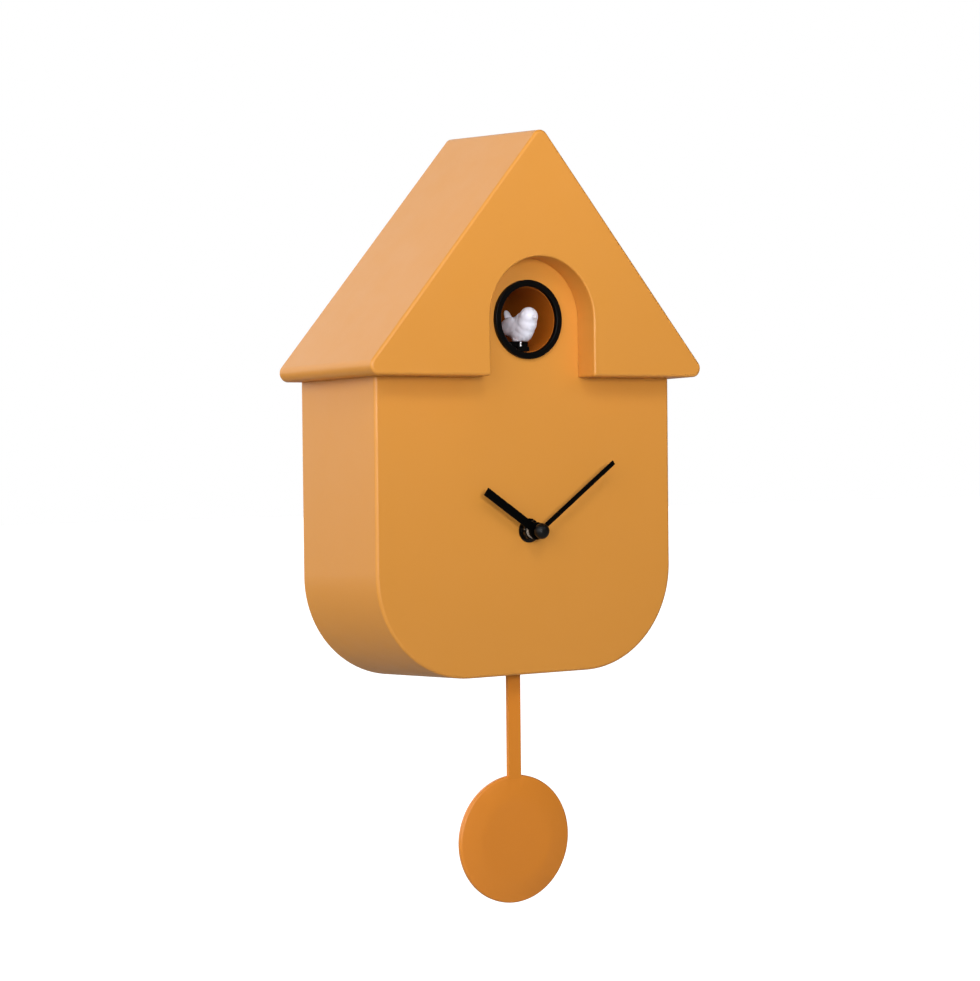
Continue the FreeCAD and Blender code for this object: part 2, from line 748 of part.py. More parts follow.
def make_window():
    """The black ring round the window, and the tunnel that the bird comes out of."""
    ring = turned("0", "window_rise", [
        ("face_depth", "ring_inner"),
        ("face_depth + ring_proud", "ring_inner", "0.7"),
        ("face_depth + ring_proud", "ring_outer", "0.7"),
        ("face_depth", "ring_outer"),
    ])
    keep("window_ring", ring)
    tube = turned("0", "window_rise", [
        ("tunnel_rear", "tunnel_inner"),
        ("face_depth", "tunnel_inner"),
        ("face_depth", "tunnel_outer"),
        ("face_depth - shell_wall - 0.1", "tunnel_outer"),
        ("face_depth - shell_wall - 0.1", "tunnel_flange"),
        ("face_depth - shell_wall - 1.6", "tunnel_flange"),
        ("face_depth - shell_wall - 1.6", "tunnel_outer"),
        ("tunnel_rear", "tunnel_outer"),
    ])
    cheeks = [block((x, f"{x} + 1.6"), ("24", "48"), ("-3", "13.6")) for x in ("-8.2", "6.6")]
    slot = block(("-6.2", "6.2"), ("tunnel_rear - 1", "62"), ("8", "15"))
    axle = cylinder("axle_radius + 0.05", "20", ("-10", "axle_forward", "axle_rise"), ACROSS)
    motor = cylinder("1.6", "5", ("5", "motor_forward", "motor_rise"), ACROSS)
    keep("window_tunnel", cut(fuse(tube, *cheeks), slot, axle, motor))


def ball(centre, radii):
    """An ellipsoid with radii (across, forward, up)."""
    egg = doc.addObject("Part::Ellipsoid", "ball")
    bind(egg, Radius1=radii[2], Radius2=radii[1], Radius3=radii[0])
    egg.Placement = FreeCAD.Placement(FreeCAD.Vector(), FreeCAD.Rotation(UP_AXIS, 90))
    place(egg, *centre)
    return egg


def make_bird():
    """The bird, on a pin in a carrier that slides along the tunnel's floor."""
    trunk = ball(("0", "66.4", "25.5"), ("6.1", "10.6", "6.7"))
    head = ball(("0", "75.3", "31.4"), ("5.0", "5.1", "5.1"))
    tail = block(("-2.2", "2.2"), ("52.4", "58.5"), ("26", "36.2"))
    beak = doc.addObject("Part::Cone", "beak")
    beak.Placement = FreeCAD.Placement(FreeCAD.Vector(), FORWARD)
    bind(beak, Radius1="1.8", Radius2="0.3", Height="4.1")
    place(beak, "0", "79", "30.9")
    pin_spot = ("0", "perch_forward")
    foot = cylinder("4", "4", (*pin_spot, "perch_top + 2.7"), UP)
    bird = cut(fuse(trunk, head, tail, beak, foot), cylinder("pin_bore", "6", (*pin_spot, "perch_top"), UP))
    keep("bird_body", bird)
    keep("bird_pin", cylinder("pin_bore - 0.05", "6.4", (*pin_spot, "perch_top - 1.5"), UP))
    bar = block(("-carrier_half", "carrier_half"), ("11", "70"), ("carrier_low", "perch_top"))
    perch = block(("-5", "5"), ("57", "perch_forward - pin_bore"), ("perch_top - 0.1", "perch_top + 2.6"))
    pin_hole = cylinder("pin_bore", "6", (*pin_spot, "perch_top - 1.5"), UP)
    pitch = math.pi * DIMS["rack_module"]
    rack = []
    for step in range(11):
        body = new_body()
        centre = f"axle_forward + {(step - 9.5) * pitch:.5f}"
        corners = [
            (f"{centre} - 0.92", "carrier_low + 0.2"),
            (f"{centre} - 0.92", "carrier_low"),
            (f"{centre} - 0.34", "carrier_low - 1.55"),
            (f"{centre} + 0.34", "carrier_low - 1.55"),
            (f"{centre} + 0.92", "carrier_low"),
            (f"{centre} + 0.92", "carrier_low + 0.2"),
        ]
        pad(body, profile(body, "side", "-2.2", corners), "4.4")
        rack.append(body)
    keep("bird_carrier", cut(fuse(bar, perch, *rack), pin_hole))


def make_drive():
    """The gear that moves the carrier, its axle, and the motor."""
    at = ("axle_forward", "axle_rise")
    small = teeth("rack_module", 12, 90, at[0], ("-2.4", "2.4"), at[1], ACROSS)
    large = teeth("reducer_module", 24, 0, at[0], ("3.9", "5.7"), at[1], ACROSS)
    hub = cylinder("2.6", "12", ("-6", *at), ACROSS)
    bore = cylinder("axle_radius + 0.05", "20", ("-10", *at), ACROSS)
    keep("drive_gear", cut(fuse(small, large, hub), bore))
    keep("axle_pin", cylinder("axle_radius", "17", ("-8.5", *at), ACROSS))
    spot = ("motor_forward", "motor_rise")
    phase = meshing(24, 0, 225, 8)
    pinion = teeth("reducer_module", 8, phase, spot[0], ("3.7", "5.9"), spot[1], ACROSS)
    shaft = cylinder("0.8", "4.6", ("3.7", *spot), ACROSS)
    keep("motor_pinion", fuse(pinion, shaft))
    can = cylinder("motor_radius", "18", ("8.4", *spot), ACROSS)
    nose = cylinder("1.5", "1.7", ("6.75", *spot), ACROSS)
    rear = cylinder("2", "1.2", ("26.4", *spot), ACROSS)
    hole = cylinder("0.85", "2.4", ("6", *spot), ACROSS)
    keep("bird_motor", cut(fuse(can, nose, rear), hole))


# ---------------------------------------------------------------- hands and movement


def make_hand(name, width, length, tail, plane, bore, hub, degrees):
    """A straight hand with a round hub, turned clockwise from 12 by that many degrees."""
    hand = new_body()
    bar = [
        (f"-({width}) / 2", f"hook_rise - ({tail})"),
        (f"({width}) / 2", f"hook_rise - ({tail})"),
        (f"({width}) / 2", f"hook_rise + {length}"),
        (f"-({width}) / 2", f"hook_rise + {length}"),
    ]
    pad(hand, profile(hand, "front", plane, bar), "hand_thick")
    pad(hand, disc_profile(hand, "front", plane, "0", "hook_rise", hub), "hand_thick")
    hole = disc_profile(hand, "front", f"{plane} + 2", "0", "hook_rise", bore)
    pocket(hand, hole, "4")
    hand.Placement = FreeCAD.Placement(FreeCAD.Vector(), FreeCAD.Rotation(FreeCAD.Vector(0, 1, 0), degrees))
    bind(hand, Placement__Base__z="-dial_drop - hook_rise")
    return keep(name, hand)


def make_hands():
    """The two hands at 10:09, and the cap over their arbor."""
    make_hand("hour_hand", "hour_width", "hour_length", "3",
              "hour_plane", "tube_radius + 0.02", "4.6", 304.45)
    make_hand("minute_hand", "minute_width", "minute_length", "3",
              "minute_plane", "arbor_radius + 0.02", "3.6", 53.4)
    keep("hand_collar", turned("0", "-dial_drop", [
        ("minute_plane + hand_thick", "arbor_radius + 0.02"),
        ("minute_plane + hand_thick", "collar_radius"),
        ("cap_rear", "collar_radius"),
        ("cap_rear", "arbor_radius + 0.02"),
    ]))
    keep("hand_cap", turned("0", "-dial_drop", [
        ("cap_rear", "0"),
        ("cap_rear", "cap_radius"),
        ("cap_front", "cap_radius", "3.4"),
        ("cap_front", "0"),
    ]))


C = ("0", "-dial_drop")
MINUTE = beyond(C, 20, "motion_module", 10, 30)
KNOB = beyond(MINUTE, 20, "motion_module", 30, 10)
THIRD = beyond(C, 120, "centre_module", 60, 8)
SECOND = beyond(THIRD, 60, "train_module", 64, 8)
FIFTH = beyond(SECOND, 0, "train_module", 60, 8)
ROTOR = beyond(FIFTH, -20, "train_module", 60, 15)
BEARINGS = [THIRD, SECOND, FIFTH, ROTOR]


def make_cases():
    """The movement's two case halves, and the plate between the train and the motion work."""
    outer = [("-case_half", "case_half"), ("-dial_drop - case_half", "-dial_drop + case_half")]
    inner = [("-case_half + case_wall", "case_half - case_wall"),
             ("-dial_drop - case_half + case_wall", "-dial_drop + case_half - case_wall")]
    front = block(outer[0], ("case_split", "face_depth - shell_wall"), outer[1])
    hollow = block(inner[0], ("case_split - 1", "face_depth - shell_wall - case_wall"), inner[1])
    stud = peg("0.8", ("65.4", "face_depth - shell_wall - 0.5"), *MINUTE)
    bushing = peg("bushing_radius + 0.02", ("case_split", "face_depth"), *C)
    keep("movement_front_case", cut(fuse(cut(front, hollow), stud), bushing))
    rear = block(outer[0], ("case_rear", "case_split"), outer[1])
    hollow = block(inner[0], ("case_rear + case_wall", "case_split + 1"), inner[1])
    wall = block(inner[0], ("case_rear + 0.5", "case_split"), ("-dial_drop - 11.4", "-dial_drop - 10.6"))
    cell_bay = block(inner[0], ("case_rear - 1", "case_rear + 2"),
                     ("-dial_drop - case_half + case_wall", "-dial_drop - 12.2"))
    knob_hole = peg("1.05", ("case_rear - 1", "case_rear + 2"), *KNOB)
    pits = [peg("pivot_radius + 0.05", ("case_rear + 0.5", "case_rear + 2"), *spot) for spot in BEARINGS]
    centre_pit = peg("arbor_radius + 0.05", ("case_rear + 0.5", "case_rear + 2"), *C)
    keep("movement_back_case", cut(fuse(cut(rear, hollow), wall), cell_bay, knob_hole, centre_pit, *pits))
    middle = block(("-20", "26.6"), ("plate_rear", "plate_front"), ("-dial_drop - 10", "-dial_drop + 26.6"))
    holes = [peg("pivot_radius + 0.05", ("plate_rear - 1", "plate_front + 1"), *spot) for spot in BEARINGS]
    holes.append(peg("arbor_radius + 0.05", ("plate_rear - 1", "plate_front + 1"), *C))
    holes.append(peg("1.05", ("plate_rear - 1", "plate_front + 1"), *KNOB))
    keep("movement_plate", cut(middle, *holes))


def wheel(name, spot, arbor, pivot, *gears):
    """A wheel or several on one arbor. Each gear is (module, teeth, phase, forward pair)."""
    rings = [teeth(module, count, phase, forward, *spot) for module, count, phase, forward in gears]
    return keep(name, fuse(peg(pivot, arbor, *spot), *rings))


def make_train():
    """The wheels from the rotor to the hands, meshing as they stand."""
    centre_phase = 0
    cannon = teeth("motion_module", 10, 0, ("66.2", "67.6"), *C)
    main = teeth("centre_module", 60, centre_phase, ("60.6", "61.4"), *C)
    hub = peg("1.7", ("60.2", "62.4"), *C)
    keep("center_wheel", cut(fuse(main, hub), peg("arbor_radius + 0.02", ("59", "64"), *C)))
    arbor = peg("arbor_radius", ("case_rear + 0.7", "cap_rear - 0.1"), *C)
    keep("minute_arbor", fuse(arbor, cannon))

    minute_phase = meshing(10, 0, 20, 30)
    hour_phase = meshing(8, 0, 200, 32)
    rings = [
        teeth("motion_module", 30, minute_phase, ("66.3", "67.3"), *MINUTE),
        teeth("motion_module", 8, 0, ("67.2", "69.2"), *MINUTE),
    ]
    bore = peg("0.85", ("60", "71"), *MINUTE)
    keep("minute_wheel", cut(fuse(*rings), bore))
    disc = teeth("motion_module", 32, hour_phase, ("68.1", "69.1"), *C)
    tube = peg("tube_radius", ("68.1", "hour_plane + hand_thick + 0.3"), *C)
    keep("hour_wheel", cut(fuse(disc, tube), peg("arbor_radius + 0.05", ("60", "90"), *C)))

    knob_phase = meshing(30, minute_phase, 20, 10)
    pinion = teeth("motion_module", 10, knob_phase, ("66.2", "67.4"), *KNOB)
    stem = peg("1", ("case_rear - 1", "67.4"), *KNOB)
    knob = peg("knob_radius", ("case_rear - 4", "case_rear - 0.5"), *KNOB)
    keep("setting_knob", fuse(pinion, stem, knob))

    third_pinion = meshing(60, centre_phase, 120, 8)
    second_pinion = meshing(64, 0, 60, 8)
    fifth_pinion = meshing(60, 0, 0, 8)
    rotor_pinion = meshing(60, 0, -20, 15)
    arbor = ("case_rear + 0.7", "plate_front + 0.3")
    wheel("third_wheel", THIRD, arbor, "pivot_radius",
          ("centre_module", 8, third_pinion, ("60.2", "61.8")), ("train_module", 64, 0, ("58.6", "59.3")))
    wheel("second_wheel", SECOND, arbor, "pivot_radius",
          ("train_module", 8, second_pinion, ("58.3", "59.6")), ("train_module", 60, 0, ("62.0", "62.6")))
    wheel("fifth_wheel", FIFTH, arbor, "pivot_radius",
          ("train_module", 8, fifth_pinion, ("61.7", "62.9")), ("train_module", 60, 0, ("59.9", "60.5")))
    magnet = peg("2", ("57", "58.6"), *ROTOR)
    pinion = teeth("train_module", 15, rotor_pinion, ("59.6", "60.8"), *ROTOR)
    keep("rotor", fuse(peg("pivot_radius", arbor, *ROTOR), magnet, pinion))


def make_movement():
    """What else is in and on the movement: bushing, nut, motor parts, board, crystal, cell."""
    tube = peg("bushing_radius", ("face_depth - shell_wall - case_wall", "bushing_front"), *C)
    bore = peg("bushing_bore", ("60", "90"), *C)
    keep("threaded_bushing", cut(tube, bore))
    washer = peg("washer_radius", ("face_depth", "face_depth + washer_thick"), *C)
    keep("nut_washer", cut(washer, peg("bushing_radius + 0.1", ("60", "90"), *C)))
    nut = peg("nut_radius", ("face_depth + washer_thick", "nut_front"), *C)
    grooves = []
    for step in range(12):
        angle = 2 * math.pi * step / 12
        grooves.append(peg("0.5", ("70", "80"), f"nut_radius * {math.cos(angle):.5f}",
                           f"-dial_drop + nut_radius * {math.sin(angle):.5f}"))
    keep("mounting_nut", cut(nut, peg("bushing_radius + 0.05", ("60", "90"), *C), *grooves))

    yoke = block(("10.5", "23.5"), ("57.4", "58.2"), ("-dial_drop + 7", "-dial_drop + 15"))
    leg = block(("19", "23.5"), ("57.4", "58.2"), ("-dial_drop - 9.8", "-dial_drop + 8"))
    keep("stator", cut(fuse(yoke, leg), peg("2.4", ("56", "60"), *ROTOR)))
    low, high = "-dial_drop - 9", "-dial_drop + 4.6"
    former = block(("17.6", "24.9"), ("56.4", "59.2"), (low, high))
    hole = block(("18.9", "23.6"), ("57.3", "58.3"), ("-dial_drop - 12", "-dial_drop + 8"))
    ends = [block(("16.4", "26.2"), ("56.3", "60.8"), (z, f"{z} + 0.8")) for z in (low, high)]
    keep("coil_bobbin", cut(fuse(former, *ends), hole))
    outer = block(("16.8", "25.8"), ("56.35", "60.4"), (f"{low} + 0.8", high))
    keep("coil_winding", cut(outer, block(("17.6", "24.9"), ("56.3", "59.2"), (low, high))))
    board = block(("-26", "-12"), ("58", "59.2"), ("-dial_drop - 10", "-dial_drop + 24"))
    keep("circuit_board", board)
    keep("quartz_crystal", cylinder("1.5", "8", ("-20", "60.75", "-dial_drop - 2"), UP))
    start = "-cell_length / 2"
    cell = cylinder("cell_radius", "cell_length - 1.5", (start, "cell_forward", "-dial_drop - cell_drop"), ACROSS)
    nub = cylinder("2.7", "cell_length", (start, "cell_forward", "-dial_drop - cell_drop"), ACROSS)
    keep("aa_battery", fuse(cell, nub))
    tabs = [
        block((x, f"{x} + 0.4"), ("58", "68"), ("-dial_drop - cell_drop - 5", "-dial_drop - cell_drop + 6"))
        for x in ("-26.4", "25.6")
    ]
    keep("movement_contacts", group(*tabs))


# ---------------------------------------------------------------- pendulum


def make_pendulum():
    """The pendulum, its hanger and the driving box that it swings in."""
    pivot = ("0", "-swing_drop")
    hook = ("0", "-hook_drop")
    plane = "rod_plane - rod_thick / 2"
    rod = [
        ("-rod_width / 2", "-hook_drop + 3.5", "1.5"),
        ("-rod_width / 2", "-disc_drop + 20"),
        ("rod_width / 2", "-disc_drop + 20"),
        ("rod_width / 2", "-hook_drop + 3.5", "1.5"),
    ]
    stick = plate("front", plane, "rod_thick", rod)
    keep("pendulum_rod", cut(stick, peg("1.4", ("40", "70"), *hook)))
    disc = turned("0", "-disc_drop", [
        ("rod_plane - disc_thick / 2", "0"),
        ("rod_plane - disc_thick / 2", "disc_radius", "1.2"),
        ("rod_plane + disc_thick / 2 - disc_dome", "disc_radius", "1.2"),
        ("rod_plane + disc_thick / 2", "disc_radius - 12", "30"),
        ("rod_plane + disc_thick / 2", "0"),
    ])
    socket = block(("-rod_width / 2 - 0.05", "rod_width / 2 + 0.05"),
                   (f"{plane} - 0.05", f"{plane} + rod_thick + 0.05"), ("-disc_drop + 19.9", "-disc_drop + 36"))
    keep("pendulum_disc", cut(disc, socket))
    arm = block(("-4", "4"), ("52.4", "55"), ("-hook_drop - 4", "-swing_drop + 2"))
    hub = peg("3", ("51", "58"), *pivot)
    peg_on = peg("1.3", ("54", "60"), *hook)
    bore = peg("pin_radius + 0.05", ("40", "70"), *pivot)
    seat = peg("3.55", ("51", "52.9"), "0", "-swing_drop - 13")
    keep("pendulum_hanger", cut(fuse(arm, hub, peg_on), bore, seat))
    keep("pendulum_magnet", peg("3.5", ("50.4", "52.9"), "0", "-swing_drop - 13"))
    keep("pivot_pin", peg("pin_radius", ("box_rear + 0.5", "face_depth - shell_wall - 0.3"), *pivot))
    keep("drive_coil", cut(peg("6", ("box_rear + 1.2", "49.9"), "0", "-swing_drop - 13"),
                           peg("2", ("40", "60"), "0", "-swing_drop - 13")))
    front = "face_depth - shell_wall"
    shell = block(("-box_half", "box_half"), ("box_rear", f"{front} - 1.2"), ("-box_low", "-box_top"))
    hollow = block(("-box_half + 1.2", "box_half - 1.2"), ("box_rear + 1.2", "face_depth"),
                   ("-box_low + 1.2", "-box_top - 1.2"))
    mouth = block(("-slot_half", "slot_half"), ("slot_rear", "slot_front"), ("-box_low - 1", "-box_low + 3"))
    hole = peg("pin_radius + 0.02", ("box_rear - 1", "70"), *pivot)
    keep("pendulum_box", cut(shell, hollow, mouth, hole))
    lid = block(("-box_half", "box_half"), (f"{front} - 1.2", front), ("-box_low", "-box_top"))
    keep("pendulum_box_lid", cut(lid, peg("pin_radius + 0.02", ("60", "80"), *pivot)))


# ---------------------------------------------------------------- batteries, speaker, board, leads


def make_batteries():
    """The two cells of the cuckoo works, and the contacts at the tray's ends."""
    mid = "-(tray_top + tray_low) / 2"
    depth = "2.6 + big_cell_radius"
    cells = []
    for start in ("-big_cell_length - 0.5", "0.5"):
        can = cylinder("big_cell_radius", "big_cell_length - 1.5", (start, depth, mid), ACROSS)
        nub = cylinder("3.2", "big_cell_length", (start, depth, mid), ACROSS)
        cells.append(fuse(can, nub))
    keep("c_batteries", group(*cells))
    plates = []
    for x in ("-tray_half + 0.1", "tray_half - 0.6"):
        plates.append(block((x, f"{x} + 0.5"), ("6", "26"), (f"{mid} - 9", f"{mid} + 9")))
    spring = cut(cylinder("5", "5.4", ("-tray_half + 0.6", depth, mid), ACROSS),
                 cylinder("4.2", "8", ("-tray_half", depth, mid), ACROSS))
    keep("tray_contacts", group(fuse(plates[0], spring), plates[1]))


def make_sound():
    """The speaker behind its grille, and the board with its chip and the mode switch."""
    at = ("speaker_across", "speaker_rise")
    frame = turned(*at, [
        ("cover_thick", "speaker_radius - 3.5"),
        ("cover_thick", "speaker_radius"),
        ("cover_thick + 1.2", "speaker_radius"),
        ("cover_thick + 1.2", "speaker_radius - 2.4"),
        ("cover_thick + 7.2", "9.6"),
        ("cover_thick + 9", "9.6"),
        ("cover_thick + 9", "5.2"),
        ("cover_thick + 8.2", "5.2"),
        ("cover_thick + 8.2", "8.8"),
        ("cover_thick + 6.8", "8.8"),
        ("cover_thick + 1.2", "speaker_radius - 3.5"),
    ])
    keep("speaker_frame", frame)
    cone = turned(*at, [
        ("cover_thick + 1.4", "speaker_radius - 4.8"),
        ("cover_thick + 1.8", "speaker_radius - 4.8"),
        ("cover_thick + 6.9", "4.6"),
        ("cover_thick + 8.6", "4.6"),
        ("cover_thick + 8.6", "4.2"),
        ("cover_thick + 6.5", "4.2"),
    ])
    keep("speaker_cone", cone)
    keep("speaker_magnet", peg("9", ("cover_thick + 9", "cover_thick + 14"), *at))
    board = block(("board_across - 22", "board_across + 22"), ("cover_thick + 3.5", "cover_thick + 5.1"),
                  ("board_rise - 16.5", "board_rise + 16.5"))
    holes = [peg("1", ("cover_thick", "cover_thick + 8"), *spot) for spot in SOUND_POSTS]
    keep("sound_board", cut(board, *holes))
    chip = block(("board_across - 6", "board_across + 6"), ("cover_thick + 5.1", "cover_thick + 6.7"),
                 ("board_rise - 3", "board_rise + 7"))
    keep("sound_chip", chip)
    can = block(("board_across - 6.5", "board_across + 6.5"), ("1.3", "cover_thick + 3.5"),
                ("board_rise - 16.2", "board_rise - 13.8"))
    room = block(("board_across - 4.6", "board_across + 4.6"), ("1", "cover_thick + 2"),
                 ("board_rise - 15.75", "board_rise - 14.25"))
    keep("switch_body", cut(can, room))
    knob = block(("board_across - 4.5", "board_across - 1.5"), ("0.2", "cover_thick + 1.9"),
                 ("board_rise - 15.7", "board_rise - 14.3"))
    keep("switch_slider", knob)


def route(points, bend, radius):
    """A wire of round section along a route of straight runs that are joined by arcs."""
    spots = [FreeCAD.Vector(x, -forward, up - DIMS["hook_rise"]) for x, forward, up in points]
    edges, start = [], spots[0]
    for before, corner, after in zip(spots, spots[1:], spots[2:]):
        back, on = (before - corner).normalize(), (after - corner).normalize()
        half = back.getAngle(on) / 2
        reach = bend / math.tan(half)
        centre = corner + (back + on).normalize() * (bend / math.sin(half))
        first, last = corner + back * reach, corner + on * reach
        middle = centre + (corner - centre).normalize() * bend
        edges += [Part.LineSegment(start, first).toShape(), Part.Arc(first, middle, last).toShape()]
        start = last
    edges.append(Part.LineSegment(start, spots[-1]).toShape())
    path = Part.Wire(edges)
    circle = Part.Wire(Part.Circle(spots[0], spots[1] - spots[0], radius).toShape())
    lead = doc.addObject("Part::Feature", "lead")
    lead.Shape = path.makePipeShell([circle], True, False)
    return lead


def make_leads():
    """The leads that are held inside: two to the batteries, two to the speaker and two to the motor."""
    leads = []
    for shift in (0, 1.6):
        left, low = -52 - shift, 21 + shift
        leads.append(route([(left, 22, -110.9), (left, 22, -90), (left, 9.5, -60), (left, 9.5, -3)], 12, 0.6))
        leads.append(route([(-33.9, 7, low), (-20, 7, low), (20, 12.6, low), (46.9, 12.6, low)], 20, 0.6))
        leads.append(route([(-33.9, 7, low - 18), (33, 7, low - 18), (33, 30, low - 18), (27.7, 30, low - 18)],
                           5, 0.6))
    keep("inner_leads", group(*leads))


make_roof()
make_body()
make_cover()
make_hanger()
make_screws()
make_door()
make_window()
make_bird()
make_drive()
make_hands()
make_cases()
make_train()
make_movement()
make_pendulum()
make_batteries()
make_sound()
make_leads()
doc.recompute()

for thing in doc.Objects:
    if "Invalid" in thing.State or "Error" in thing.State:
        raise RuntimeError(f"{thing.Name} ({thing.Label}) could not be built: {thing.State}")

os.makedirs("parts", exist_ok=True)
for name, thing in nodes.items():
    shape = thing.Shape
    if shape.isNull() or not shape.isValid() or not shape.Solids:
        raise RuntimeError(f"{name} has no sound solid")
    shape.exportStep(f"parts/{name}.step")
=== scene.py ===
"""Looks for the wall cuckoo clock: finishes for every moulded, painted and metal part, the pieces that need
more shape than their plain solids have, and the studio around them. All lengths are in metres."""

import logging
import math
from dataclasses import dataclass
from enum import Enum
from typing import Any, Callable, Iterable, Sequence

import bmesh
import bpy
from mathutils import Matrix, Vector


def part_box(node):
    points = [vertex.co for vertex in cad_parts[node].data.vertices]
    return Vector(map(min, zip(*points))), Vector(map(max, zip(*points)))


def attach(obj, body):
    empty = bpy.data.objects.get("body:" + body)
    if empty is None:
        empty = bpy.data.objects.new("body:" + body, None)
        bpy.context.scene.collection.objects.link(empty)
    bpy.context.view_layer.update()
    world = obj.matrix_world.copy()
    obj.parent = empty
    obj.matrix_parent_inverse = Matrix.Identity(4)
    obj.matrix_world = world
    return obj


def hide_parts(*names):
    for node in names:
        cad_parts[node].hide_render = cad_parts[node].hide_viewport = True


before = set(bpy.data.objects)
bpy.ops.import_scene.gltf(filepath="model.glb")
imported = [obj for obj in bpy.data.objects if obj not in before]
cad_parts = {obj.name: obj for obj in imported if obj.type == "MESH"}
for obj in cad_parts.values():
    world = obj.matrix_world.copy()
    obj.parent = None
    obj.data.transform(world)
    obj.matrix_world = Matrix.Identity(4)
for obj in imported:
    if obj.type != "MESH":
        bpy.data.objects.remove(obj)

LOG = logging.getLogger("cuckoo_clock")
MM = 0.001
IMAGE_WIDTH = 980
IMAGE_HEIGHT = 981
MERGE = 1e-6
SHARP = math.radians(40)
LEVEL = math.radians(1)
FLAT = 12.0
PATTERN_RANGE = (0.3, 0.7)
SMALL_EASE = 0.1 * MM
ORIGIN = ((0.0, 0.0, 0.0),)
ROUND_STEPS = 72
CORNER_STEPS = 7
TURN_STEPS = 28
WIRE_SIDES = 8
Colour = tuple[float, float, float]
Point = tuple[float, float, float]

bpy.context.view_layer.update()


# ---------------------------------------------------------------- finishes


def linear(red: int, green: int, blue: int) -> Colour:
    """Turns a display colour of 0 to 255 into the linear one that shaders take.

    Args:
        red, green, blue: the display colour.

    Returns:
        The linear colour, each channel 0 to 1.
    """

    def channel(level: int) -> float:
        """One channel, display to linear."""
        part = level / 255
        return part / 12.92 if part <= 0.04045 else ((part + 0.055) / 1.055) ** 2.4

    return channel(red), channel(green), channel(blue)


class Tree:
    """A node tree, with short ways to add nodes and to fill their inputs."""

    def __init__(self, tree: bpy.types.NodeTree) -> None:
        """Takes the tree that the nodes go in."""
        self.tree = tree

    def add(self, kind: str, **settings: Any) -> bpy.types.Node:
        """Adds a node.

        Args:
            kind: the node's type.
            settings: its properties.

        Returns:
            The node.
        """
        node = self.tree.nodes.new(kind)
        for key, setting in settings.items():
            setattr(node, key, setting)
        return node

    def join(self, source: Any, target: Any) -> None:
        """Links an output to an input."""
        self.tree.links.new(source, target)

    def feed(self, node: bpy.types.Node, **sources: Any) -> None:
        """Fills a node's inputs.

        Args:
            node: the node.
            sources: an output or a constant for each input, named with underscores for spaces.
        """
        for key, source in sources.items():
            socket = node.inputs[key.replace("_", " ")]
            if isinstance(source, bpy.types.NodeSocket):
                self.join(source, socket)
            else:
                socket.default_value = source


class Shader(Tree):
    """A material's node tree, with short ways to make patterns."""

    def __init__(self, name: str) -> None:
        """Starts a material with an empty Principled surface.

        Args:
            name: the material's name.
        """
        self.material = bpy.data.materials.new(name)
        self.material.use_nodes = True
        super().__init__(self.material.node_tree)
        self.surface = self.tree.nodes["Principled BSDF"]
        self.place = self.add("ShaderNodeTexCoord").outputs["Object"]

    def noise(self, scale: float, detail: float = 3.0, rough: float = 0.55) -> Any:
        """Makes a noise pattern in object space.

        Args:
            scale: features per metre.
            detail: octaves.
            rough: how strong the finer octaves are.

        Returns:
            The noise's value output.
        """
        node = self.add("ShaderNodeTexNoise")
        self.feed(node, Vector=self.place, Scale=scale, Detail=detail, Roughness=rough)
        return node.outputs["Fac"]

    def between(self, source: Any, low: float, high: float) -> Any:
        """Spreads the middle of a pattern's range onto another range.

        Args:
            source: the pattern.
            low, high: the new range.

        Returns:
            The output.
        """
        node = self.add("ShaderNodeMapRange")
        start, end = PATTERN_RANGE
        self.feed(node, Value=source, From_Min=start, From_Max=end, To_Min=low, To_Max=high)
        return node.outputs["Result"]

    def blend(self, share: Any, first: Colour, second: Colour) -> Any:
        """Mixes two colours by a pattern.

        Args:
            share: the pattern.
            first, second: the colours where it is 0 and 1.

        Returns:
            The output.
        """
        node = self.add("ShaderNodeMix", data_type="RGBA")
        self.join(share, node.inputs["Factor"])
        colours = [socket for socket in node.inputs if socket.type == "RGBA"]
        colours[0].default_value = (*first, 1)
        colours[1].default_value = (*second, 1)
        return next(socket for socket in node.outputs if socket.type == "RGBA")

    def bump(self, height: Any, strength: float, distance: float, under: Any = None) -> Any:
        """Adds a bump over another.

        Args:
            height: the pattern that gives its height.
            strength: how much it counts.
            distance: its depth in metres.
            under: the normal of the bump below, if there is one.

        Returns:
            The normal.
        """
        node = self.add("ShaderNodeBump")
        self.feed(node, Strength=strength, Distance=distance, Height=height)
        if under is not None:
            self.join(under, node.inputs["Normal"])
        return node.outputs["Normal"]

    def wear(self, **sources: Any) -> None:
        """Fills the inputs of the surface itself."""
        self.feed(self.surface, **sources)


def shade(colour: Colour, factor: float) -> Colour:
    """The same colour, darker or lighter by a factor."""
    return colour[0] * factor, colour[1] * factor, colour[2] * factor


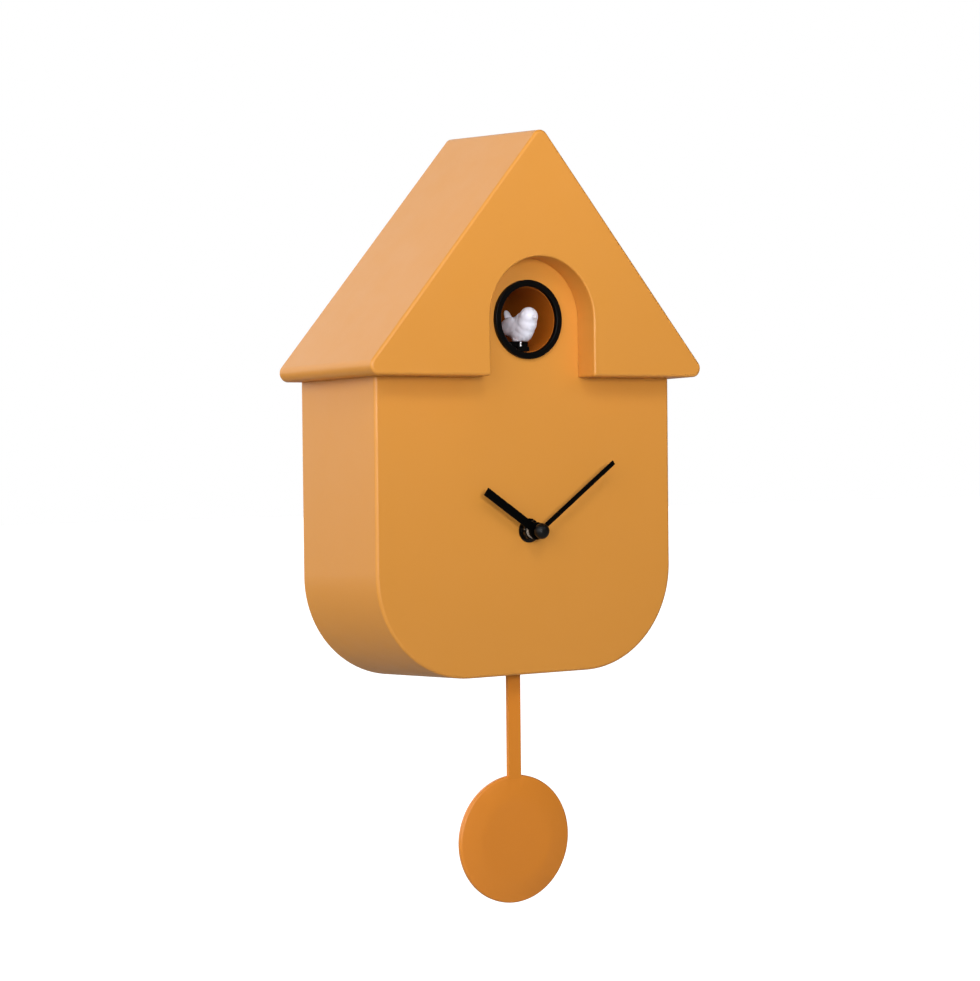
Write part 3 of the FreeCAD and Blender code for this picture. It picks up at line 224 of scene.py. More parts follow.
@dataclass(frozen=True)
class Moulded:
    """Injection-moulded plastic: a fine even grain, faint flow shading and a satin skin."""

    name: str
    colour: Colour
    roughness: float = 0.42
    grain_per_m: float = 2600.0
    grain_depth: float = 0.00002
    grain_strength: float = 0.18
    shading: float = 0.03
    specular: float = 0.5
    coat: float = 0.0
    coat_roughness: float = 0.25
    flow_per_m: float = 9.0
    wipes_per_m: float = 60.0
    wiped: float = 0.03
    dulled: float = 0.04
    waves_per_m: float = 120.0
    wave_strength: float = 0.05
    wave_depth: float = 0.0004

    def material(self) -> bpy.types.Material:
        """Builds the material.

        Returns:
            The material.
        """
        shader = Shader(self.name)
        flow = shader.between(shader.noise(self.flow_per_m, 2.0), 0.0, 1.0)
        dark, pale = shade(self.colour, 1 - self.shading), shade(self.colour, 1 + self.shading)
        wipes = shader.noise(self.wipes_per_m, 4.0, 0.6)
        waves = shader.bump(shader.noise(self.waves_per_m, 2.0), self.wave_strength, self.wave_depth)
        grain = shader.noise(self.grain_per_m, 2.0, 0.6)
        shader.wear(
            Base_Color=shader.blend(flow, dark, pale),
            Roughness=shader.between(wipes, self.roughness - self.wiped, self.roughness + self.dulled),
            Normal=shader.bump(grain, self.grain_strength, self.grain_depth, waves),
            Specular_IOR_Level=self.specular,
            Coat_Weight=self.coat,
            Coat_Roughness=self.coat_roughness,
        )
        return shader.material


@dataclass(frozen=True)
class Metal:
    """Bare or plated metal, brushed or turned, with faint stains."""

    name: str
    colour: Colour
    roughness: float = 0.3
    brushed: float = 0.2
    stretch: Point = (1.0, 1.0, 18.0)
    stains_per_m: float = 140.0
    stain: float = 0.86
    lines_per_m: float = 900.0
    line_depth: float = 0.00002
    polished: float = 0.06
    dulled: float = 0.1

    def material(self) -> bpy.types.Material:
        """Builds the material.

        Returns:
            The material.
        """
        shader = Shader(self.name)
        stains = shader.between(shader.noise(self.stains_per_m, 4.0), 0.0, 1.0)
        mapping = shader.add("ShaderNodeMapping")
        shader.feed(mapping, Vector=shader.place, Scale=self.stretch)
        lines = shader.add("ShaderNodeTexNoise")
        shader.feed(lines, Vector=mapping.outputs["Vector"], Scale=self.lines_per_m)
        brushing = lines.outputs["Fac"]
        shader.wear(
            Base_Color=shader.blend(stains, shade(self.colour, self.stain), self.colour),
            Roughness=shader.between(brushing, self.roughness - self.polished, self.roughness + self.dulled),
            Normal=shader.bump(brushing, self.brushed, self.line_depth),
            Metallic=1.0,
        )
        return shader.material


class Finish(Enum):
    """The finishes of this clock's parts."""

    SHELL = Moulded("amber_satin_shell", linear(220, 148, 60), 0.38, shading=0.012)
    COVER = Moulded("amber_matt_cover", linear(214, 143, 52), 0.55, 1500.0, 0.00004, 0.3, 0.02)
    # The tunnel's wall: a darker, deeper amber than the shell's, painted shade of the recess behind the
    # window.
    SHADED_TUNNEL = Moulded("amber_tunnel_painted_shade", linear(176, 94, 18), 0.55, shading=0.02, specular=0.25)
    DISC = Moulded("amber_pendulum_disc", linear(229, 139, 42), 0.38, shading=0.012)
    ROD = Moulded("amber_pendulum_rod", linear(226, 138, 42), 0.42, shading=0.012, specular=0.35)
    BLACK_SATIN = Moulded("black_satin_ring", linear(3, 3, 3), 0.42, 1800.0, 0.00002, 0.12, 0.1, 0.1)
    BLACK_PAINT = Moulded("black_painted_hand", linear(2, 2, 2), 0.45, 3200.0, 0.00002, 0.2, 0.1, 0.06)
    BLACK_DOME = Moulded("black_rubbery_cap", linear(8, 8, 8), 0.38, 2400.0, 0.00003, 0.2, 0.1, 0.25)
    BIRD = Moulded("white_bird_enamel", linear(232, 233, 246), 0.45, 1400.0, 0.00004, 0.2, 0.02)
    WORKS = Moulded("black_works_case", linear(26, 26, 27), 0.5, 1600.0, 0.00004, 0.35, 0.08)
    GEAR = Moulded("natural_acetal_gear", linear(226, 222, 206), 0.35, 2200.0, 0.00002, 0.1, 0.02)
    BOARD = Moulded("green_solder_mask", linear(22, 92, 44), 0.3, 500.0, 0.00002, 0.2, 0.06, coat=0.5)
    MAGNET = Moulded("sintered_magnet", linear(58, 58, 60), 0.45, 1200.0, 0.00005, 0.5, 0.1)
    CONE = Moulded("pressed_paper_cone", linear(38, 36, 34), 0.85, 900.0, 0.0001, 0.6, 0.12)
    LEAD = Moulded("red_lead_sheath", linear(168, 26, 20), 0.45, 1500.0, 0.00002, 0.1, 0.03)
    DARK_LEAD = Moulded("black_lead_sheath", linear(24, 24, 26), 0.45, 1500.0, 0.00002, 0.1, 0.03)
    RESISTOR = Moulded("ceramic_chip_part", linear(46, 42, 40), 0.4, 1500.0, 0.00002, 0.1, 0.08)
    STEEL = Metal("zinc_plated_steel", linear(196, 198, 202), 0.32)
    CHROME = Metal("dark_nickel_nut", linear(74, 70, 66), 0.14, 0.1)
    # Pale silver on the hand collar; on the bushing's thread it is a painted highlight, lighter than the
    # dark nickel bushing.
    SILVER_AND_HIGHLIGHT = Moulded("silver_and_painted_highlight", linear(186, 180, 170), 0.3, 2400.0, 0.00002, 0.1, 0.02)
    BRASS = Metal("turned_brass", linear(212, 176, 104), 0.24)
    COPPER = Metal("enamelled_copper", linear(198, 106, 60), 0.3, 0.1, (1.0, 1.0, 1.0))
    SLEEVE = Moulded("dark_cell_sleeve", linear(44, 52, 64), 0.28, 400.0, 0.00003, 0.1, 0.03, coat=0.4)
    BAND = Moulded("ochre_cell_band", linear(196, 150, 70), 0.28, 400.0, 0.00003, 0.1, 0.03, coat=0.4)


_MADE: dict[str, bpy.types.Material] = {}


def finish_of(choice: Finish) -> bpy.types.Material:
    """Makes a finish's material once.

    Args:
        choice: the finish.

    Returns:
        The material.
    """
    if choice.name not in _MADE:
        _MADE[choice.name] = choice.value.material()
    return _MADE[choice.name]


def dress(choice: Finish, *nodes: str) -> None:
    """Gives CAD nodes their finish.

    Args:
        choice: the finish.
        nodes: the nodes' names.
    """
    material = finish_of(choice)
    for node in nodes:
        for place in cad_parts[node].material_slots:
            place.material = material
        LOG.info("%s wears %s", node, material.name)


# ---------------------------------------------------------------- meshes


class Facing(Enum):
    """The directions that a lathe-made shape's axis can point in."""

    FORWARD = (0.0, -1.0, 0.0)
    ACROSS = (1.0, 0.0, 0.0)


def placed(origin: Vector, facing: Facing) -> Matrix:
    """The matrix that turns local Z to a direction and moves the origin to a place.

    Args:
        origin: where the local origin goes.
        facing: where local Z points.

    Returns:
        The matrix.
    """
    turn = Vector((0, 0, 1)).rotation_difference(Vector(facing.value))
    return Matrix.Translation(origin) @ turn.to_matrix().to_4x4()


def linked(name: str, data: Any) -> bpy.types.Object:
    """Makes an object of some data and puts it in the scene.

    Args:
        name: the object's name.
        data: its mesh, light or camera.

    Returns:
        The object.
    """
    thing = bpy.data.objects.new(name, data)
    bpy.context.scene.collection.objects.link(thing)
    return thing


def evaluated(thing: bpy.types.Object) -> bpy.types.Mesh:
    """An object's mesh after its modifiers, as a plain mesh."""
    graph = bpy.context.evaluated_depsgraph_get()
    return bpy.data.meshes.new_from_object(thing.evaluated_get(graph))


def box_of(node: str) -> tuple[Vector, Vector]:
    """The lowest and highest corners of a CAD node's box."""
    low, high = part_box(node)
    return Vector(low), Vector(high)


def merged(node: str) -> bmesh.types.BMesh:
    """Copies a CAD node's mesh and merges its doubles.

    Args:
        node: the node.

    Returns:
        The copy, which the caller frees.
    """
    shape = bmesh.new()
    shape.from_mesh(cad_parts[node].data)
    bmesh.ops.remove_doubles(shape, verts=shape.verts, dist=MERGE)
    return shape


def closed(shape: bmesh.types.BMesh) -> bpy.types.Mesh:
    """Merges a shape's doubles, turns its faces outwards and returns it as a mesh.

    Args:
        shape: the shape, which is freed.

    Returns:
        The mesh.
    """
    bmesh.ops.remove_doubles(shape, verts=shape.verts, dist=MERGE)
    bmesh.ops.recalc_face_normals(shape, faces=shape.faces)
    mesh = bpy.data.meshes.new("shape")
    shape.to_mesh(mesh)
    shape.free()
    return mesh


def lathe(outline: Sequence[tuple[float, float]], segments: int = 64) -> bpy.types.Mesh:
    """Turns a closed outline about local Z.

    Args:
        outline: points as (height, radius) in metres; the last joins the first.
        segments: how many steps there are round the axis.

    Returns:
        The mesh.
    """
    shape = bmesh.new()
    rings = []
    for height, radius in outline:
        if radius < MERGE:
            rings.append([shape.verts.new((0, 0, height))] * segments)
            continue
        angles = (2 * math.pi * step / segments for step in range(segments))
        rings.append([shape.verts.new((radius * math.cos(a), radius * math.sin(a), height)) for a in angles])
    for first, second in zip(rings, rings[1:] + rings[:1]):
        for step in range(segments):
            after = (step + 1) % segments
            corners = [first[step], first[after], second[after], second[step]]
            unique = list(dict.fromkeys(corners))
            if len(unique) > 2:
                shape.faces.new(unique)
    return closed(shape)


def soften(shape: bmesh.types.BMesh, edges: list[bmesh.types.BMEdge], ease: float) -> None:
    """Rounds some of a shape's edges.

    Args:
        shape: the shape.
        edges: which edges.
        ease: how far the rounding reaches from an edge.
    """
    bmesh.ops.bevel(
        shape, geom=edges, offset=ease, segments=2, profile=0.5, affect="EDGES", clamp_overlap=True
    )


def cuboid(size: Point, ease: float) -> bpy.types.Mesh:
    """A box about the origin with eased edges.

    Args:
        size: its three sides.
        ease: how far the rounding reaches from an edge.

    Returns:
        The mesh.
    """
    shape = bmesh.new()
    bmesh.ops.create_cube(shape, size=1.0, matrix=Matrix.Diagonal((*size, 1)))
    soften(shape, shape.edges[:], ease)
    return closed(shape)


def eased(node: str, ease: float) -> bpy.types.Mesh:
    """A copy of a CAD node's mesh with its sharp edges eased.

    Args:
        node: the node.
        ease: the width of the new edges.

    Returns:
        The mesh.
    """
    shape = merged(node)
    bmesh.ops.dissolve_limit(shape, angle_limit=LEVEL, verts=shape.verts, edges=shape.edges)
    sharp = [edge for edge in shape.edges if len(edge.link_faces) == 2 and edge.calc_face_angle() > SHARP]
    soften(shape, sharp, ease)
    return closed(shape)


def joined(*meshes: bpy.types.Mesh) -> bpy.types.Mesh:
    """Several meshes as one, with their material indices kept.

    Args:
        meshes: the meshes.

    Returns:
        The new mesh.
    """
    shape = bmesh.new()
    for mesh in meshes:
        shape.from_mesh(mesh)
    mesh = bpy.data.meshes.new("shape")
    shape.to_mesh(mesh)
    shape.free()
    return mesh


def painted(mesh: bpy.types.Mesh, index: int) -> bpy.types.Mesh:
    """Gives all of a mesh's faces one material.

    Args:
        mesh: the mesh.
        index: the material's index.

    Returns:
        The same mesh.
    """
    for face in mesh.polygons:
        face.material_index = index
    return mesh


def moved(mesh: bpy.types.Mesh, matrix: Matrix) -> bpy.types.Mesh:
    """Moves a mesh's points.

    Args:
        mesh: the mesh.
        matrix: how they move.

    Returns:
        The same mesh.
    """
    mesh.transform(matrix)
    mesh.update()
    return mesh


def groups_of(shape: bmesh.types.BMesh) -> list[list[bmesh.types.BMFace]]:
    """Sorts a shape's faces into its separate solids.

    Args:
        shape: the shape.

    Returns:
        Each solid's faces, from the lowest solid to the highest.
    """
    left = set(shape.faces)
    groups = []
    while left:
        front = [left.pop()]
        group = []
        while front:
            face = front.pop()
            group.append(face)
            around = {other for edge in face.edges for other in edge.link_faces if other in left}
            left -= around
            front.extend(around)
        groups.append(group)
    return sorted(groups, key=lambda faces: sum(face.calc_center_median().z for face in faces) / len(faces))


def islands_of(node: str) -> list[tuple[Vector, Vector]]:
    """The boxes of a CAD node's separate solids, from left to right.

    Args:
        node: the node.

    Returns:
        Each solid's lowest and highest corners.
    """
    shape = merged(node)
    boxes = []
    for faces in groups_of(shape):
        points = [vert.co for face in faces for vert in face.verts]
        low = Vector(tuple(min(point[axis] for point in points) for axis in range(3)))
        high = Vector(tuple(max(point[axis] for point in points) for axis in range(3)))
        boxes.append((low, high))
    shape.free()
    return sorted(boxes, key=lambda box: box[0].x)


def worked(mesh: bpy.types.Mesh, *steps: Callable[[bpy.types.Object], None]) -> bpy.types.Mesh:
    """Runs modifiers on a mesh and returns the result as a plain mesh.

    Args:
        mesh: the mesh.
        steps: functions that each add a modifier to the object they are given.

    Returns:
        The new mesh.
    """
    thing = linked("work", mesh)
    for step in steps:
        step(thing)
    result = evaluated(thing)
    bpy.data.objects.remove(thing)
    return result


def carved(mesh: bpy.types.Mesh, tool: bpy.types.Mesh) -> bpy.types.Mesh:
    """A mesh less another.

    Args:
        mesh: what is cut.
        tool: what is taken away.

    Returns:
        The new mesh.
    """
    cutter = linked("tool", tool)

    def take_away(thing: bpy.types.Object) -> None:
        """Adds the cut.

        Args:
            thing: the object that gets it.
        """
        step = thing.modifiers.new("cut", "BOOLEAN")
        step.operation = "DIFFERENCE"
        step.object = cutter

    result = worked(mesh, take_away)
    bpy.data.objects.remove(cutter)
    return result


def skinned(mesh: bpy.types.Mesh, voxel: float, smooth_steps: int) -> bpy.types.Mesh:
    """One soft skin over several masses.

    Args:
        mesh: the masses.
        voxel: the skin's grid size.
        smooth_steps: how many times it is smoothed.

    Returns:
        The skin.
    """

    def wrap(thing: bpy.types.Object) -> None:
        """Adds the remesh.

        Args:
            thing: the object that gets it.
        """
        step = thing.modifiers.new("skin", "REMESH")
        step.mode = "VOXEL"
        step.voxel_size = voxel

    def settle(thing: bpy.types.Object) -> None:
        """Adds the smoothing.

        Args:
            thing: the object that gets it.
        """
        step = thing.modifiers.new("settle", "SMOOTH")
        step.factor = 0.5
        step.iterations = smooth_steps

    return worked(mesh, wrap, settle)


@dataclass
class Piece:
    """A finished mesh that becomes a piece of the clock."""

    name: str
    mesh: bpy.types.Mesh
    body: str
    slot: str
    finishes: tuple[Finish, ...]
    replaces: tuple[str, ...] = ()
    smooth_under: float = 35.0
    broad: float = math.inf

    def add(self) -> None:
        """Links the piece, dresses it and hangs it on its body."""
        self.mesh.name = self.name
        last = len(self.finishes) - 1
        paint = [min(face.material_index, last) for face in self.mesh.polygons]
        self.mesh.materials.clear()
        for choice in self.finishes:
            self.mesh.materials.append(finish_of(choice))
        self.mesh.polygons.foreach_set("material_index", paint)
        self.mesh.shade_smooth()
        self.mesh.set_sharp_from_angle(angle=math.radians(self.smooth_under))
        for face in self.mesh.polygons:
            if face.area > self.broad:
                for corner in face.loop_indices:
                    self.mesh.edges[self.mesh.loops[corner].edge_index].use_edge_sharp = True
        thing = linked(self.name, self.mesh)
        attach(thing, self.body)
        if self.replaces:
            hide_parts(*self.replaces)
        LOG.info("%s: %d faces on %s", self.name, len(self.mesh.polygons), self.body)


def ease_edges(node: str, width: float, body: str, slot: str, choice: Finish) -> None:
    """Replaces a CAD node with a copy whose sharp edges are eased.

    Args:
        node: the node, whose name the piece takes.
        width: the width of the new edges.
        body: the body it rides on.
        slot: its material slot, which is not used.
        choice: its finish.
    """
    Piece(node, eased(node, width), body, slot, (choice,), (node,), FLAT).add()


# ---------------------------------------------------------------- patterns that repeat


class Pattern(Tree):
    """A Geometry Nodes tree with named inputs, run once to give a plain mesh."""

    def __init__(self, name: str) -> None:
        """Starts an empty tree.

        Args:
            name: the tree's name.
        """
        super().__init__(bpy.data.node_groups.new(name, "GeometryNodeTree"))
        for way in ("INPUT", "OUTPUT"):
            self.tree.interface.new_socket("Geometry", in_out=way, socket_type="NodeSocketGeometry")
        self.inlet = self.add("NodeGroupInput")
        self.outlet = self.add("NodeGroupOutput")
        self.keys: dict[str, str] = {}

    def named(self, kind: str, *names: str) -> None:
        """Adds inputs.

        Args:
            kind: Float, Int, Object or Material.
            names: what they are called.
        """
        for name in names:
            socket = self.tree.interface.new_socket(name, in_out="INPUT", socket_type=f"NodeSocket{kind}")
            self.keys[name] = socket.identifier

    def feed(self, node: bpy.types.Node, **sources: Any) -> None:
        """Fills a node's inputs, where text stands for one of the tree's own inputs.

        Args:
            node: the node.
            sources: text, an output or a constant for each input, named with underscores for spaces.
        """
        for key, source in sources.items():
            super().feed(node, **{key: self.inlet.outputs[source] if isinstance(source, str) else source})

    def end(self, instances: Any) -> None:
        """Closes the tree: the instances are realized and given the finish.

        Args:
            instances: the output to close with.
        """
        self.named("Material", "Finish")
        realize = self.add("GeometryNodeRealizeInstances")
        paint = self.add("GeometryNodeSetMaterial")
        self.join(instances, realize.inputs[0])
        self.feed(paint, Geometry=realize.outputs[0], Material="Finish")
        self.join(paint.outputs[0], self.outlet.inputs[0])

    def run(self, spots: Iterable[Sequence[float]], finish: Finish, **levels: Any) -> bpy.types.Mesh:
        """Runs the tree on a mesh of loose points and returns the result as a plain mesh.

        Args:
            spots: the points.
            finish: the finish of the result.
            levels: the other inputs, with underscores for spaces.

        Returns:
            The mesh.
        """
        mesh = bpy.data.meshes.new("spots")
        mesh.from_pydata([tuple(spot) for spot in spots], [], [])
        thing = linked("spots", mesh)
        modifier = thing.modifiers.new("pattern", "NODES")
        modifier.node_group = self.tree
        modifier[self.keys["Finish"]] = finish_of(finish)
        for name, level in levels.items():
            modifier[self.keys[name.replace("_", " ")]] = level
        result = evaluated(thing)
        thing.modifiers.clear()
        bpy.data.objects.remove(thing)
        return result


class Scatter(Pattern):
    """Copies of one shape on points, each turned by chance about the axis it points along."""

    def __init__(self) -> None:
        """Builds the tree: a shape, its greatest turn, and the seed of the turns."""
        super().__init__("copies_on_points")
        self.named("Object", "Shape")
        self.named("Float", "Turn")
        self.named("Int", "Seed")
        points = self.add("GeometryNodeMeshToPoints")
        shape = self.add("GeometryNodeObjectInfo", transform_space="ORIGINAL")
        chance = self.add("FunctionNodeRandomValue", data_type="FLOAT")
        axes = self.add("ShaderNodeCombineXYZ")
        turn = self.add("FunctionNodeEulerToRotation")
        copies = self.add("GeometryNodeInstanceOnPoints")
        self.feed(points, Mesh="Geometry")
        self.feed(shape, Object="Shape")
        most = [socket for socket in chance.inputs if socket.type == "VALUE" and socket.name == "Max"]
        self.join(self.inlet.outputs["Turn"], most[0])
        self.feed(chance, Seed="Seed")
        self.feed(axes, Y=next(socket for socket in chance.outputs if socket.type == "VALUE"))
        self.join(axes.outputs[0], turn.inputs[0])
        self.feed(copies, Points=points.outputs[0], Instance=shape.outputs["Geometry"])
        self.feed(copies, Rotation=turn.outputs[0])
        self.end(copies.outputs[0])

    def copies(
        self, shape: bpy.types.Mesh, spots: Iterable[Sequence[float]], finish: Finish, turn: float, seed: int
    ) -> bpy.types.Mesh:
        """Sets copies of a shape on points.

        Args:
            shape: the shape, about its own origin.
            spots: where the copies go.
            finish: their finish.
            turn: the greatest turn about Y, in radians.
            seed: the seed of the turns.

        Returns:
            The mesh of all the copies.
        """
        pattern = bpy.data.objects.new("shape", shape)
        result = self.run(spots, finish, Shape=pattern, Turn=turn, Seed=seed)
        bpy.data.objects.remove(pattern)
        return result


class Crown(Pattern):
    """Copies of one shape in a ring about local Z, each facing out."""

    def __init__(self) -> None:
        """Builds the tree: a shape, how many there are, and the ring's radius."""
        super().__init__("copies_in_a_ring")
        self.named("Object", "Shape")
        self.named("Int", "Count")
        self.named("Float", "Radius")
        ring = self.add("GeometryNodeMeshCircle")
        shape = self.add("GeometryNodeObjectInfo", transform_space="ORIGINAL")
        index = self.add("GeometryNodeInputIndex")
        share = self.add("ShaderNodeMath", operation="DIVIDE")
        angle = self.add("ShaderNodeMath", operation="MULTIPLY")
        axes = self.add("ShaderNodeCombineXYZ")
        turn = self.add("FunctionNodeEulerToRotation")
        copies = self.add("GeometryNodeInstanceOnPoints")
        self.feed(ring, Vertices="Count", Radius="Radius")
        self.feed(shape, Object="Shape")
        self.join(index.outputs[0], share.inputs[0])
        self.join(self.inlet.outputs["Count"], share.inputs[1])
        self.join(share.outputs[0], angle.inputs[0])
        angle.inputs[1].default_value = 2 * math.pi
        self.feed(axes, Z=angle.outputs[0])
        self.join(axes.outputs[0], turn.inputs[0])
        self.feed(copies, Points=ring.outputs[0], Instance=shape.outputs["Geometry"])
        self.feed(copies, Rotation=turn.outputs[0])
        self.end(copies.outputs[0])

    def copies(self, shape: bpy.types.Mesh, count: int, radius: float, finish: Finish) -> bpy.types.Mesh:
        """Sets copies of a shape in a ring.

        Args:
            shape: the shape, with local X pointing out.
            count: how many.
            radius: the ring's radius.
            finish: their finish.

        Returns:
            The mesh of all the copies.
        """
        pattern = bpy.data.objects.new("shape", shape)
        result = self.run(ORIGIN, finish, Shape=pattern, Count=count, Radius=radius)
        bpy.data.objects.remove(pattern)
        return result


class Winding(Pattern):
    """Turns of wire one above the other, each a loop with rounded corners."""

    def __init__(self) -> None:
        """Builds the tree: the loop's sides and corner, the turns, their pitch, and the wire."""
        super().__init__("turns_of_wire")
        self.named("Float", "Width", "Depth", "Corner", "Pitch", "Wire")
        self.named("Int", "Turns")
        loop = self.add("GeometryNodeCurvePrimitiveQuadrilateral")
        rounded = self.add("GeometryNodeFilletCurve", mode="POLY")
        line = self.add("GeometryNodeMeshLine")
        step = self.add("ShaderNodeCombineXYZ")
        copies = self.add("GeometryNodeInstanceOnPoints")
        section = self.add("GeometryNodeCurvePrimitiveCircle")
        wire = self.add("GeometryNodeCurveToMesh")
        self.feed(loop, Width="Width", Height="Depth")
        self.feed(rounded, Curve=loop.outputs[0], Radius="Corner", Count=CORNER_STEPS, Limit_Radius=True)
        self.feed(step, Z="Pitch")
        self.feed(line, Count="Turns", Offset=step.outputs[0])
        self.feed(section, Resolution=WIRE_SIDES, Radius="Wire")
        self.feed(wire, Curve=rounded.outputs[0], Profile_Curve=section.outputs["Curve"])
        self.feed(copies, Points=line.outputs[0], Instance=wire.outputs[0])
        self.end(copies.outputs[0])


class Spring(Pattern):
    """A conical coil spring along local Z."""

    def __init__(self) -> None:
        """Builds the tree: the turns, both radii, the height and the wire."""
        super().__init__("cone_spring")
        self.named("Float", "Turns", "Base", "Tip", "Height", "Wire")
        spiral = self.add("GeometryNodeCurveSpiral")
        section = self.add("GeometryNodeCurvePrimitiveCircle")
        wire = self.add("GeometryNodeCurveToMesh")
        self.feed(spiral, Rotations="Turns", Start_Radius="Base", End_Radius="Tip", Height="Height")
        self.feed(spiral, Resolution=TURN_STEPS)
        self.feed(section, Resolution=WIRE_SIDES, Radius="Wire")
        self.feed(wire, Curve=spiral.outputs[0], Profile_Curve=section.outputs["Curve"], Fill_Caps=True)
        self.end(wire.outputs[0])


# ---------------------------------------------------------------- the clock's sub-assemblies


@dataclass
class ScrewSet:
    """Pan-head screws with a cross recess, which stand in for one CAD node of screws."""

    node: str
    head_radius: float = 3.2 * MM
    head_height: float = 1.4 * MM
    shank_radius: float = 1.5 * MM
    pitch: float = 1.1 * MM
    recess: float = 1.7 * MM
    recess_half: float = 0.34 * MM
    recess_depth: float = 0.9 * MM
    seat_share: float = 0.72
    edge_share: float = 0.45
    root_share: float = 0.78
    tip_share: float = 0.5
    first_turn: float = 0.1
    segments: int = 40
    seed: int = 7

    def screw(self, length: float) -> bpy.types.Mesh:
        """One screw about its head's rear face, pointing forward.

        Args:
            length: from the head's rear face to the tip.

        Returns:
            The mesh.
        """
        outline = [(0.0, 0.0), (0.0, self.head_radius * self.seat_share)]
        outline += [(self.head_height * self.edge_share, self.head_radius)]
        outline += [(self.head_height, self.head_radius), (self.head_height, self.shank_radius)]
        turns = int((length - self.head_height) / self.pitch)
        for turn in range(turns):
            start = self.head_height + (turn + self.first_turn) * self.pitch
            outline += [(start, self.shank_radius * self.root_share)]
            outline += [(start + self.pitch * 0.5, self.shank_radius)]
        outline += [(length, self.shank_radius * self.tip_share), (length, 0.0)]
        body = moved(lathe(outline, self.segments), placed(Vector(), Facing.FORWARD))
        arms = [
            cuboid((2 * half_x, 2 * self.recess_depth, 2 * half_z), SMALL_EASE)
            for half_x, half_z in ((self.recess, self.recess_half), (self.recess_half, self.recess))
        ]
        for arm in arms:
            body = carved(body, arm)
        return body

    def build(self) -> None:
        """Finds each screw's place from the CAD node's own solids and sets a screw on it."""
        islands = islands_of(self.node)
        spots = []
        length = 0.0
        for low, high in islands:
            spots.append(((low.x + high.x) / 2, high.y, (low.z + high.z) / 2))
            length = high.y - low.y
        mesh = Scatter().copies(self.screw(length), spots, Finish.STEEL, math.pi / 2, self.seed)
        Piece(self.node, mesh, "house", "steel", (Finish.STEEL,), (self.node,)).add()


@dataclass
class House:
    """The shells, their fasteners, the hanger and the battery door."""

    door_ease: float = 0.35 * MM
    hanger_ease: float = 0.2 * MM

    def build(self) -> None:
        """Dresses the shells and makes the screws, the door and the hanger."""
        dress(Finish.SHELL, "body_shell", "roof_shell")
        dress(Finish.COVER, "back_cover")
        ease_edges("battery_door", self.door_ease, "battery_door", "cover_plastic", Finish.COVER)
        ease_edges("hanger_plate", self.hanger_ease, "house", "steel", Finish.STEEL)
        ScrewSet("cover_screws").build()
        ScrewSet("roof_screws", seed=11).build()


@dataclass(frozen=True)
class Lump:
    """One rounded mass of the bird: its centre and half-sizes as (across, forward, up), and its pitch."""

    centre: Point
    half: Point
    pitch_deg: float = 0.0


